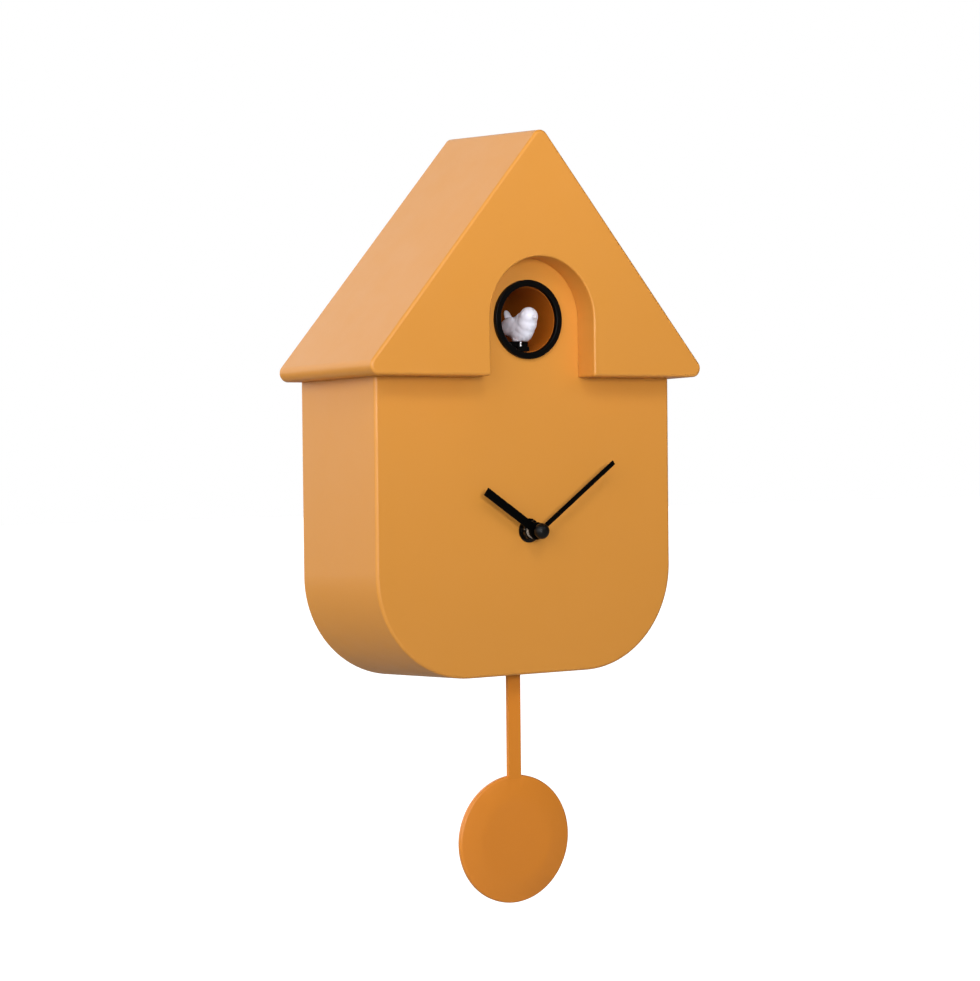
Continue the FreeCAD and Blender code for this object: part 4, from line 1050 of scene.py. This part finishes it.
@dataclass
class Bird:
    """The plump bird, one soft skin over a few masses, with its lengths in millimetres from its foot."""

    voxel: float = 0.3
    smooth_steps: int = 16
    foot_radius: float = 4.4
    foot_height: float = 3.0
    foot_flare: float = 1.05
    foot_segments: int = 48
    smooth_under: float = 80.0
    eye_radius: float = 0.95
    eye_depth: float = 0.3
    eye: Point = (4.3, 10.0, 14.0)
    masses: tuple[Lump, ...] = (
        Lump((0.0, -0.9, 7.4), (5.9, 10.6, 6.3), 10.0),
        Lump((0.0, 3.7, 8.0), (5.3, 6.2, 7.6), 20.0),
        Lump((0.0, 6.5, 9.6), (5.15, 5.35, 6.2)),
        Lump((0.0, 0.7, 4.3), (5.1, 8.2, 5.2)),
        Lump((0.0, 8.1, 12.6), (4.9, 4.95, 5.0)),
        Lump((0.0, 12.9, 12.2), (1.3, 2.4, 1.1), -6.0),
    )
    wing: Lump = Lump((4.3, -5.2, 8.2), (2.0, 7.6, 4.6), 12.0)
    tail: Lump = Lump((0.0, -11.6, 13.0), (2.2, 1.5, 5.0), 33.0)

    def mass(self, shape: bmesh.types.BMesh, lump: Lump, foot: Vector, side: float = 1.0) -> None:
        """Adds one mass.

        Args:
            shape: what it is added to.
            lump: the mass.
            foot: the middle of the bird's foot.
            side: 1 for the right, -1 for the left.
        """
        across, forward, up = lump.centre
        centre = foot + Vector((side * across, -forward, up)) * MM
        turn = Matrix.Rotation(math.radians(-lump.pitch_deg), 4, "X")
        stretch = Matrix.Diagonal((*(half * MM for half in lump.half), 1.0))
        bmesh.ops.create_icosphere(
            shape, subdivisions=4, radius=1.0, matrix=Matrix.Translation(centre) @ turn @ stretch
        )

    def build(self) -> None:
        """Skins the masses, presses the eyes in and puts the bird on its pin."""
        low, high = box_of("bird_body")
        pin_low, pin_high = box_of("bird_pin")
        pin = (pin_low + pin_high) / 2
        foot = Vector((pin.x, pin.y, low.z))
        shape = bmesh.new()
        for lump in (*self.masses, self.tail):
            self.mass(shape, lump, foot)
        for side in (-1.0, 1.0):
            self.mass(shape, self.wing, foot, side)
        rise = Matrix.Translation(foot + Vector((0, 0, self.foot_height / 2 * MM)))
        bmesh.ops.create_cone(
            shape, cap_ends=True, segments=self.foot_segments, radius1=self.foot_radius * MM,
            radius2=self.foot_radius * self.foot_flare * MM, depth=self.foot_height * MM, matrix=rise,
        )
        rough = bpy.data.meshes.new("bird_masses")
        shape.to_mesh(rough)
        shape.free()
        mesh = skinned(rough, self.voxel * MM, self.smooth_steps)
        self.press_eyes(mesh, foot)
        for point in mesh.vertices:
            for axis in range(3):
                point.co[axis] = min(max(point.co[axis], low[axis]), high[axis])
        finishes, replaced = (Finish.BIRD,), ("bird_body",)
        Piece("bird_body", mesh, "bird", "bird_white", finishes, replaced, self.smooth_under).add()
        dress(Finish.STEEL, "bird_pin")
        dress(Finish.BLACK_SATIN, "bird_carrier")

    def press_eyes(self, mesh: bpy.types.Mesh, foot: Vector) -> None:
        """Presses a shallow dimple into each side of the head.

        Args:
            mesh: the bird.
            foot: the middle of its foot.
        """
        across, forward, up = self.eye
        for side in (-1.0, 1.0):
            eye = foot + Vector((side * across, -forward, up)) * MM
            for point in mesh.vertices:
                reach = (point.co - eye).length / (self.eye_radius * MM)
                if reach < 1.0:
                    point.co.x -= side * self.eye_depth * MM * (1 - reach**2)


class CuckooWorks:
    """The window, its tunnel, and what pushes the bird out."""

    def build(self) -> None:
        """Dresses the window and the drive, and makes the bird."""
        dress(Finish.BLACK_SATIN, "window_ring")
        # The tunnel's darker amber is painted shade of the recess.
        dress(Finish.SHADED_TUNNEL, "window_tunnel")
        dress(Finish.GEAR, "drive_gear")
        dress(Finish.BRASS, "motor_pinion")
        dress(Finish.STEEL, "axle_pin", "bird_motor")
        Bird().build()


@dataclass
class Dial:
    """The hands, their cap and collar, and the nut that clamps the movement."""

    hand_ease: float = 0.12 * MM
    nut_ease: float = 0.15 * MM
    thread_pitch: float = 0.5 * MM
    thread_wire: float = 0.2 * MM
    first_turn: float = 0.6

    def thread(self) -> None:
        """Winds the ridges of the thread round the bushing, in front of the nut, in pale silver: painted
        highlight on the dark nickel bushing.
        """
        low, high = box_of("threaded_bushing")
        nut_front = box_of("mounting_nut")[0].y
        centre = (low + high) / 2
        turns = int((nut_front - low.y) / self.thread_pitch)
        width = high.x - low.x - self.thread_wire
        # The rings are pale silver, a painted highlight on the dark nickel bushing.
        rings = Winding().run(
            ORIGIN, Finish.SILVER_AND_HIGHLIGHT, Width=width, Depth=width, Corner=width / 2, Pitch=self.thread_pitch,
            Wire=self.thread_wire, Turns=turns,
        )
        start = Vector((centre.x, nut_front - self.thread_pitch * self.first_turn, centre.z))
        mesh = moved(rings, placed(start, Facing.FORWARD))
        Piece("bushing_thread", mesh, "house", "chrome", (Finish.SILVER_AND_HIGHLIGHT,)).add()

    def build(self) -> None:
        """Makes the hands and the nut, and dresses the rest."""
        for node, body in (("hour_hand", "hour_tube"), ("minute_hand", "minute_arbor")):
            ease_edges(node, self.hand_ease, body, "black_metal", Finish.BLACK_PAINT)
        ease_edges("mounting_nut", self.nut_ease, "house", "chrome", Finish.CHROME)
        dress(Finish.BLACK_DOME, "hand_cap")
        dress(Finish.SILVER_AND_HIGHLIGHT, "hand_collar")
        dress(Finish.STEEL, "minute_arbor")
        dress(Finish.CHROME, "nut_washer", "threaded_bushing")
        self.thread()


@dataclass
class Movement:
    """The quartz movement: case, train, stepper motor and board; its cell is made with the other cells."""

    rib_count: int = 30
    rib_size: Point = (0.7 * MM, 0.55 * MM, 3.0 * MM)
    rib_ease: float = 0.15 * MM
    rib_middle: float = 1.75 * MM
    wire: float = 0.14 * MM
    wire_corner: float = 0.8 * MM
    layers: int = 2
    chip_size: Point = (1.6 * MM, 0.7 * MM, 0.9 * MM)
    chip_columns: int = 3
    chip_rows: int = 6
    empty_rows: int = 6
    chip_seed: int = 3

    def knob_ribs(self) -> None:
        """Sets grip ribs round the setting knob."""
        low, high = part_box("setting_knob")
        radius = (high[0] - low[0]) / 2
        crown = Crown().copies(cuboid(self.rib_size, self.rib_ease), self.rib_count, radius, Finish.WORKS)
        middle = Vector(((low[0] + high[0]) / 2, high[1] - self.rib_middle, (low[2] + high[2]) / 2))
        mesh = moved(crown, placed(middle, Facing.FORWARD))
        Piece("setting_knob_ribs", mesh, "setting_knob", "works_plastic", (Finish.WORKS,)).add()

    def winding(self) -> None:
        """Winds the stepper motor's coil as wire on its bobbin."""
        low, high = box_of("coil_winding")
        pitch = 2 * self.wire
        layers = [
            Winding().run(
                ORIGIN, Finish.COPPER, Width=high.x - low.x - (2 * layer + 1) * pitch,
                Depth=high.y - low.y - (2 * layer + 1) * pitch, Corner=self.wire_corner, Pitch=pitch,
                Wire=self.wire, Turns=int((high.z - low.z) / pitch),
            )
            for layer in range(self.layers)
        ]
        start = Vector(((low.x + high.x) / 2, (low.y + high.y) / 2, low.z + self.wire))
        mesh = moved(joined(*layers), Matrix.Translation(start))
        Piece("coil_winding", mesh, "house", "copper", (Finish.COPPER,), ("coil_winding",)).add()

    def board_parts(self) -> None:
        """Sets small soldered parts on the movement's board."""
        low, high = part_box("circuit_board")
        steps = self.chip_rows + self.empty_rows + 1
        spots = [
            (
                low[0] + (high[0] - low[0]) * (column + 1) / (self.chip_columns + 1),
                low[1] - self.chip_size[1] / 2,
                low[2] + (high[2] - low[2]) * (row + self.empty_rows) / steps,
            )
            for column in range(self.chip_columns)
            for row in range(self.chip_rows)
        ]
        chip = cuboid(self.chip_size, SMALL_EASE)
        mesh = Scatter().copies(chip, spots, Finish.RESISTOR, 0.0, self.chip_seed)
        Piece("circuit_board_parts", mesh, "house", "works_plastic", (Finish.RESISTOR,)).add()

    def build(self) -> None:
        """Dresses the movement and makes its knob, coil and board parts."""
        dress(Finish.WORKS, "movement_front_case", "movement_back_case", "setting_knob", "coil_bobbin")
        dress(Finish.GEAR, "center_wheel", "minute_wheel", "hour_wheel", "third_wheel", "second_wheel")
        dress(Finish.GEAR, "fifth_wheel", "movement_plate")
        dress(Finish.BOARD, "circuit_board")
        dress(Finish.MAGNET, "rotor")
        dress(Finish.STEEL, "stator", "quartz_crystal", "movement_contacts")
        self.knob_ribs()
        self.winding()
        self.board_parts()


@dataclass
class Cells:
    """The dry cells: sleeved cans with crimped ends and a raised contact."""

    nub_radius: float = 3.2 * MM
    small_nub_radius: float = 2.7 * MM
    crimp: float = 0.5 * MM
    nub_height: float = 1.5 * MM
    band_from: float = 0.74

    def cell(self, low: Vector, high: Vector, nub_radius: float) -> bpy.types.Mesh:
        """One cell along X between the corners of its box.

        Args:
            low, high: the box.
            nub_radius: the raised contact's radius.

        Returns:
            The mesh, with the sleeve, the bare ends and the band as materials 0, 1 and 2.
        """
        length, radius = high.x - low.x, (high.z - low.z) / 2
        can = length - self.nub_height
        crimp = self.crimp
        split = can * self.band_from
        sleeve = [
            (crimp, radius - 2 * crimp), (crimp * 0.4, radius - crimp), (crimp, radius - crimp * 0.2),
            (crimp * 2, radius), (split, radius), (split, radius - 2 * crimp),
        ]
        band = [
            (split, radius - 2 * crimp), (split, radius), (can - crimp * 2, radius),
            (can - crimp, radius - crimp * 0.2), (can - crimp * 0.4, radius - crimp),
            (can - crimp, radius - 2 * crimp),
        ]
        ends = [
            (0.0, 0.0), (0.0, radius * 0.62), (crimp * 0.6, radius * 0.7), (crimp * 1.2, radius - 2 * crimp),
            (can - crimp * 1.2, radius - 2 * crimp), (can - crimp, nub_radius * 1.25),
            (can - crimp, nub_radius * 1.02), (length - crimp, nub_radius), (length, nub_radius * 0.86),
            (length, 0.0),
        ]
        start = Vector((low.x, (low.y + high.y) / 2, (low.z + high.z) / 2))
        outlines = enumerate((sleeve, ends, band))
        parts = [painted(lathe(outline, ROUND_STEPS), index) for index, outline in outlines]
        return moved(joined(*parts), placed(start, Facing.ACROSS))

    def build(self) -> None:
        """Makes the two big cells and the movement's small one."""
        finishes = (Finish.SLEEVE, Finish.STEEL, Finish.BAND)
        big = [self.cell(low, high, self.nub_radius) for low, high in islands_of("c_batteries")]
        Piece("c_batteries", joined(*big), "house", "cell", finishes, ("c_batteries",)).add()
        low, high = box_of("aa_battery")
        small = self.cell(low, high, self.small_nub_radius)
        Piece("aa_battery", small, "house", "cell", finishes, ("aa_battery",)).add()


@dataclass
class BatteryTray:
    """The contacts at the tray's ends: two plates and a cone spring."""

    spring_turns: float = 5.0
    spring_wire: float = 0.45 * MM
    spring_base: float = 5.0 * MM
    spring_tip: float = 2.6 * MM
    plate_thick: float = 0.5 * MM
    plate_ease: float = 0.15 * MM

    def build(self) -> None:
        """Makes the plates with their spring, and the cells."""
        low, high = box_of("tray_contacts")
        spring_low, spring_high = islands_of("tray_contacts")[0]
        thick = self.plate_thick
        middle = (low + high) / 2
        sides = (thick, high.y - low.y, high.z - low.z)
        plates = [
            moved(cuboid(sides, self.plate_ease), Matrix.Translation((x, middle.y, middle.z)))
            for x in (low.x + thick / 2, high.x - thick / 2)
        ]
        coil = Spring().run(
            ORIGIN, Finish.STEEL, Turns=self.spring_turns, Base=self.spring_base, Tip=self.spring_tip,
            Height=spring_high.x - spring_low.x - thick - 2 * self.spring_wire, Wire=self.spring_wire,
        )
        cell_low, cell_high = islands_of("c_batteries")[0]
        base = Vector((low.x + thick + self.spring_wire, (cell_low.y + cell_high.y) / 2, middle.z))
        mesh = joined(*plates, moved(coil, placed(base, Facing.ACROSS)))
        Piece("tray_contacts", mesh, "house", "steel", (Finish.STEEL,), ("tray_contacts",)).add()
        Cells().build()


@dataclass
class Pendulum:
    """The pendulum and the box that drives it."""

    rod_ease: float = 0.2 * MM
    broad: float = 100 * MM * MM
    wire: float = 0.25 * MM
    layers: int = 8

    def drive_coil(self) -> None:
        """Winds the flat coil that pushes the pendulum."""
        low, high = box_of("drive_coil")
        width = high.x - low.x - 2 * self.wire
        pitch = 2 * self.wire
        layers = [
            Winding().run(
                ORIGIN, Finish.COPPER, Width=width - 2 * layer * pitch, Depth=width - 2 * layer * pitch,
                Corner=width / 2 - layer * pitch, Pitch=pitch, Wire=self.wire,
                Turns=int((high.y - low.y) / pitch),
            )
            for layer in range(self.layers)
        ]
        start = Vector(((low.x + high.x) / 2, high.y - self.wire, (low.z + high.z) / 2))
        mesh = moved(joined(*layers), placed(start, Facing.FORWARD))
        Piece("drive_coil", mesh, "house", "copper", (Finish.COPPER,), ("drive_coil",)).add()

    def build(self) -> None:
        """Eases the rod and the disc, dresses the rest and winds the coil."""
        ease_edges("pendulum_rod", self.rod_ease, "pendulum", "shell_plastic", Finish.ROD)
        disc = eased("pendulum_disc", self.rod_ease)
        finishes, replaced = (Finish.DISC,), ("pendulum_disc",)
        Piece("pendulum_disc", disc, "pendulum", "shell_plastic", finishes, replaced, broad=self.broad).add()
        dress(Finish.WORKS, "pendulum_box", "pendulum_box_lid", "pendulum_hanger")
        dress(Finish.MAGNET, "pendulum_magnet")
        dress(Finish.STEEL, "pivot_pin")
        self.drive_coil()


@dataclass
class Sound:
    """The speaker, the board with its chip and switch, and the leads."""

    roll_radius: float = 0.9 * MM
    flange: float = 0.5 * MM
    skin: float = 0.3 * MM
    pin_size: Point = (0.5 * MM, 0.35 * MM, 1.0 * MM)
    pins_a_side: int = 8
    pin_ease: float = 0.08 * MM
    pin_seed: int = 5
    roll_steps: int = 8
    coil_share: float = 0.3
    cap_share: float = 0.6
    cone_floor: float = 0.85
    cap_edge: float = 0.68
    cap_top: float = 0.62

    def cone(self) -> None:
        """Makes the speaker's cone with its rolled surround and dust cap."""
        low, high = box_of("speaker_cone")
        depth, radius = high.y - low.y, (high.x - low.x) / 2
        coil_radius = self.coil_share * radius
        roll_start = radius - self.flange
        front = [(0.0, radius), (0.0, roll_start)]
        for step in range(1, self.roll_steps + 1):
            angle = math.pi * step / self.roll_steps
            rise = math.sin(angle) * self.roll_radius
            front.append((rise, roll_start - self.roll_radius * (1 - math.cos(angle))))
        front += [(depth * self.cone_floor, coil_radius)]
        front += [(depth * self.cap_edge, coil_radius * self.cap_share), (depth * self.cap_top, 0.0)]
        outline = front + [(height + self.skin, reach) for height, reach in reversed(front)]
        start = Vector(((low.x + high.x) / 2, high.y, (low.z + high.z) / 2))
        mesh = moved(lathe(outline, ROUND_STEPS), placed(start, Facing.FORWARD))
        Piece("speaker_cone", mesh, "house", "paper", (Finish.CONE,), ("speaker_cone",)).add()

    def chip_pins(self) -> None:
        """Sets the chip's pins along its two sides."""
        low, high = box_of("sound_chip")
        step = (high.x - low.x) / self.pins_a_side
        spots = [
            (low.x + (place + 0.5) * step, high.y - self.pin_size[1] / 2, z)
            for z in (low.z - self.pin_size[2] / 2, high.z + self.pin_size[2] / 2)
            for place in range(self.pins_a_side)
        ]
        pin = cuboid(self.pin_size, self.pin_ease)
        mesh = Scatter().copies(pin, spots, Finish.STEEL, 0.0, self.pin_seed)
        Piece("sound_chip_pins", mesh, "house", "steel", (Finish.STEEL,)).add()

    def leads(self) -> None:
        """Gives the leads their red and black sheaths, in pairs."""
        shape = merged("inner_leads")
        for number, faces in enumerate(groups_of(shape)):
            for face in faces:
                face.material_index = number % 2
        mesh = closed(shape)
        finishes = (Finish.LEAD, Finish.DARK_LEAD)
        Piece("inner_leads", mesh, "house", "lead_plastic", finishes, ("inner_leads",)).add()

    def build(self) -> None:
        """Dresses the speaker, board and switch, and makes the cone, pins and leads."""
        dress(Finish.STEEL, "speaker_frame", "switch_body")
        dress(Finish.MAGNET, "speaker_magnet")
        dress(Finish.BOARD, "sound_board")
        dress(Finish.WORKS, "sound_chip")
        dress(Finish.BLACK_SATIN, "switch_slider")
        self.cone()
        self.chip_pins()
        self.leads()


# ---------------------------------------------------------------- studio


@dataclass(frozen=True)
class Glow:
    """A soft bright area of the surroundings, round a direction."""

    toward: Point
    sharpness: float
    level: float

    def over(self, tree: Tree, direction: Any, below: Any) -> Any:
        """Adds the glow to what is already there.

        Args:
            tree: the world's tree.
            direction: the output that gives the direction looked in.
            below: the sum so far, or None.

        Returns:
            The new sum.
        """
        along = tree.add("ShaderNodeVectorMath", operation="DOT_PRODUCT")
        tree.join(direction, along.inputs[0])
        along.inputs[1].default_value = Vector(self.toward).normalized()
        value = along.outputs["Value"]
        for operation, level in (("MAXIMUM", 0.0), ("POWER", self.sharpness), ("MULTIPLY_ADD", self.level)):
            step = tree.add("ShaderNodeMath", operation=operation)
            step.inputs[1].default_value = level
            tree.join(value, step.inputs[0])
            value = step.outputs[0]
        step.inputs[2].default_value = 0.0
        if below is not None:
            tree.join(below, step.inputs[2])
        return value


@dataclass(frozen=True)
class Softbox:
    """A square soft light: where it stands, what it faces, its side, its watts and how wide it fans out."""

    name: str
    place: Point
    target: Point
    side: float
    watts: float
    spread_deg: float = 180.0

    def build(self) -> None:
        """Adds the light."""
        data = bpy.data.lights.new(self.name, "AREA")
        data.spread = math.radians(self.spread_deg)
        data.size = self.side
        data.energy = self.watts
        lamp = linked(self.name, data)
        lamp.location = self.place
        lamp.rotation_euler = (Vector(self.target) - Vector(self.place)).to_track_quat("-Z", "Y").to_euler()


@dataclass
class Studio:
    """The camera, the soft lights, and the pale floor."""

    eye: Point = (-0.65171, -1.0748, -0.11818)
    toward: Point = (0.5311, 0.8470, -0.0219)
    roll_deg: float = -0.59
    lens_px: float = 2280.47
    sensor_mm: float = 36.0
    near: float = 0.01
    far: float = 50.0
    floor_drop: float = 0.60
    floor_reach: float = 12.0
    glows: tuple[Glow, ...] = (
        Glow((-1.0, 0.0, 0.0), 2.0, 1.71),
        Glow((-0.8, -0.6, 0.0), 5.0, 0.55),
        Glow((-0.16, 0.82, 0.55), 8.0, 0.14),
        Glow((0.0, 1.0, 0.1), 6.0, 2.40),
    )
    softboxes: tuple[Softbox, ...] = (
        Softbox("left_softbox", (-1.7, -1.5, 0.45), (0, 0, -0.1), 1.1, 8.3),
        Softbox("right_softbox", (0.9, -1.7, 0.9), (0, 0, -0.1), 0.9, 4.0),
        Softbox("key_softbox", (-0.42, -1.47, 0.08), (0, 0, 0.45), 0.3, 3.05, 80.0),
        Softbox("fill_softbox", (-0.45, -1.3, 0.85), (0, 0, 0.1), 0.4, 2.0, 120.0),
    )

    def camera(self) -> None:
        """Places the camera at the clock's left front, a little above its middle."""
        data = bpy.data.cameras.new("studio_camera")
        camera = linked("studio_camera", data)
        data.sensor_width = self.sensor_mm
        data.sensor_fit = "AUTO"
        data.lens = self.lens_px * self.sensor_mm / max(IMAGE_WIDTH, IMAGE_HEIGHT)
        data.clip_start = self.near
        data.clip_end = self.far
        ahead = Vector(self.toward).normalized()
        side = ahead.cross(Vector((0, 0, 1))).normalized()
        above = side.cross(ahead)
        roll = math.radians(self.roll_deg)
        right = side * math.cos(roll) + above * math.sin(roll)
        up = above * math.cos(roll) - side * math.sin(roll)
        turn = Matrix((right, up, -ahead)).transposed()
        camera.matrix_world = Matrix.Translation(self.eye) @ turn.to_4x4()
        bpy.context.scene.camera = camera

    def world(self) -> None:
        """Sets the white surroundings: a sum of soft glows, which a camera ray sees as plain white."""
        world = bpy.data.worlds.new("white_studio")
        world.use_nodes = True
        tree = Tree(world.node_tree)
        place = tree.add("ShaderNodeTexCoord")
        path = tree.add("ShaderNodeLightPath")
        seen = tree.add("ShaderNodeMix", data_type="FLOAT")
        total = None
        for glow in self.glows:
            total = glow.over(tree, place.outputs["Generated"], total)
        mixed = [socket for socket in seen.inputs if socket.type == "VALUE"]
        tree.join(path.outputs["Is Camera Ray"], mixed[0])
        tree.join(total, mixed[1])
        mixed[2].default_value = 1.0
        result = next(socket for socket in seen.outputs if socket.type == "VALUE")
        tree.feed(world.node_tree.nodes["Background"], Strength=result, Color=(1, 1, 1, 1))
        bpy.context.scene.world = world
        bpy.context.scene.view_settings.view_transform = "Standard"

    def floor(self) -> None:
        """Lays the pale floor, well below the clock, which hangs."""
        mesh = bpy.data.meshes.new("studio_floor")
        reach = self.floor_reach
        square = ((-reach, -reach), (reach, -reach), (reach, reach), (-reach, reach))
        corners = [(x, y, -self.floor_drop) for x, y in square]
        mesh.from_pydata(corners, [], [(0, 1, 2, 3)])
        floor = linked("studio_floor", mesh)
        shader = Shader("pale_floor")
        path = shader.add("ShaderNodeLightPath")
        shader.wear(Base_Color=(0.55, 0.55, 0.55, 1), Roughness=0.9, Emission_Color=(1, 1, 1, 1))
        shader.wear(Emission_Strength=path.outputs["Is Camera Ray"])
        mesh.materials.append(shader.material)

    def build(self) -> None:
        """Makes the whole studio."""
        self.camera()
        self.world()
        self.floor()
        for softbox in self.softboxes:
            softbox.build()
        LOG.info("studio ready")


def main() -> None:
    """Builds the studio, then the clock from the outside in."""
    logging.basicConfig(level=logging.INFO, format="%(message)s")
    Studio().build()
    House().build()
    CuckooWorks().build()
    Dial().build()
    Movement().build()
    BatteryTray().build()
    Pendulum().build()
    Sound().build()


if __name__ == "__main__":
    main()
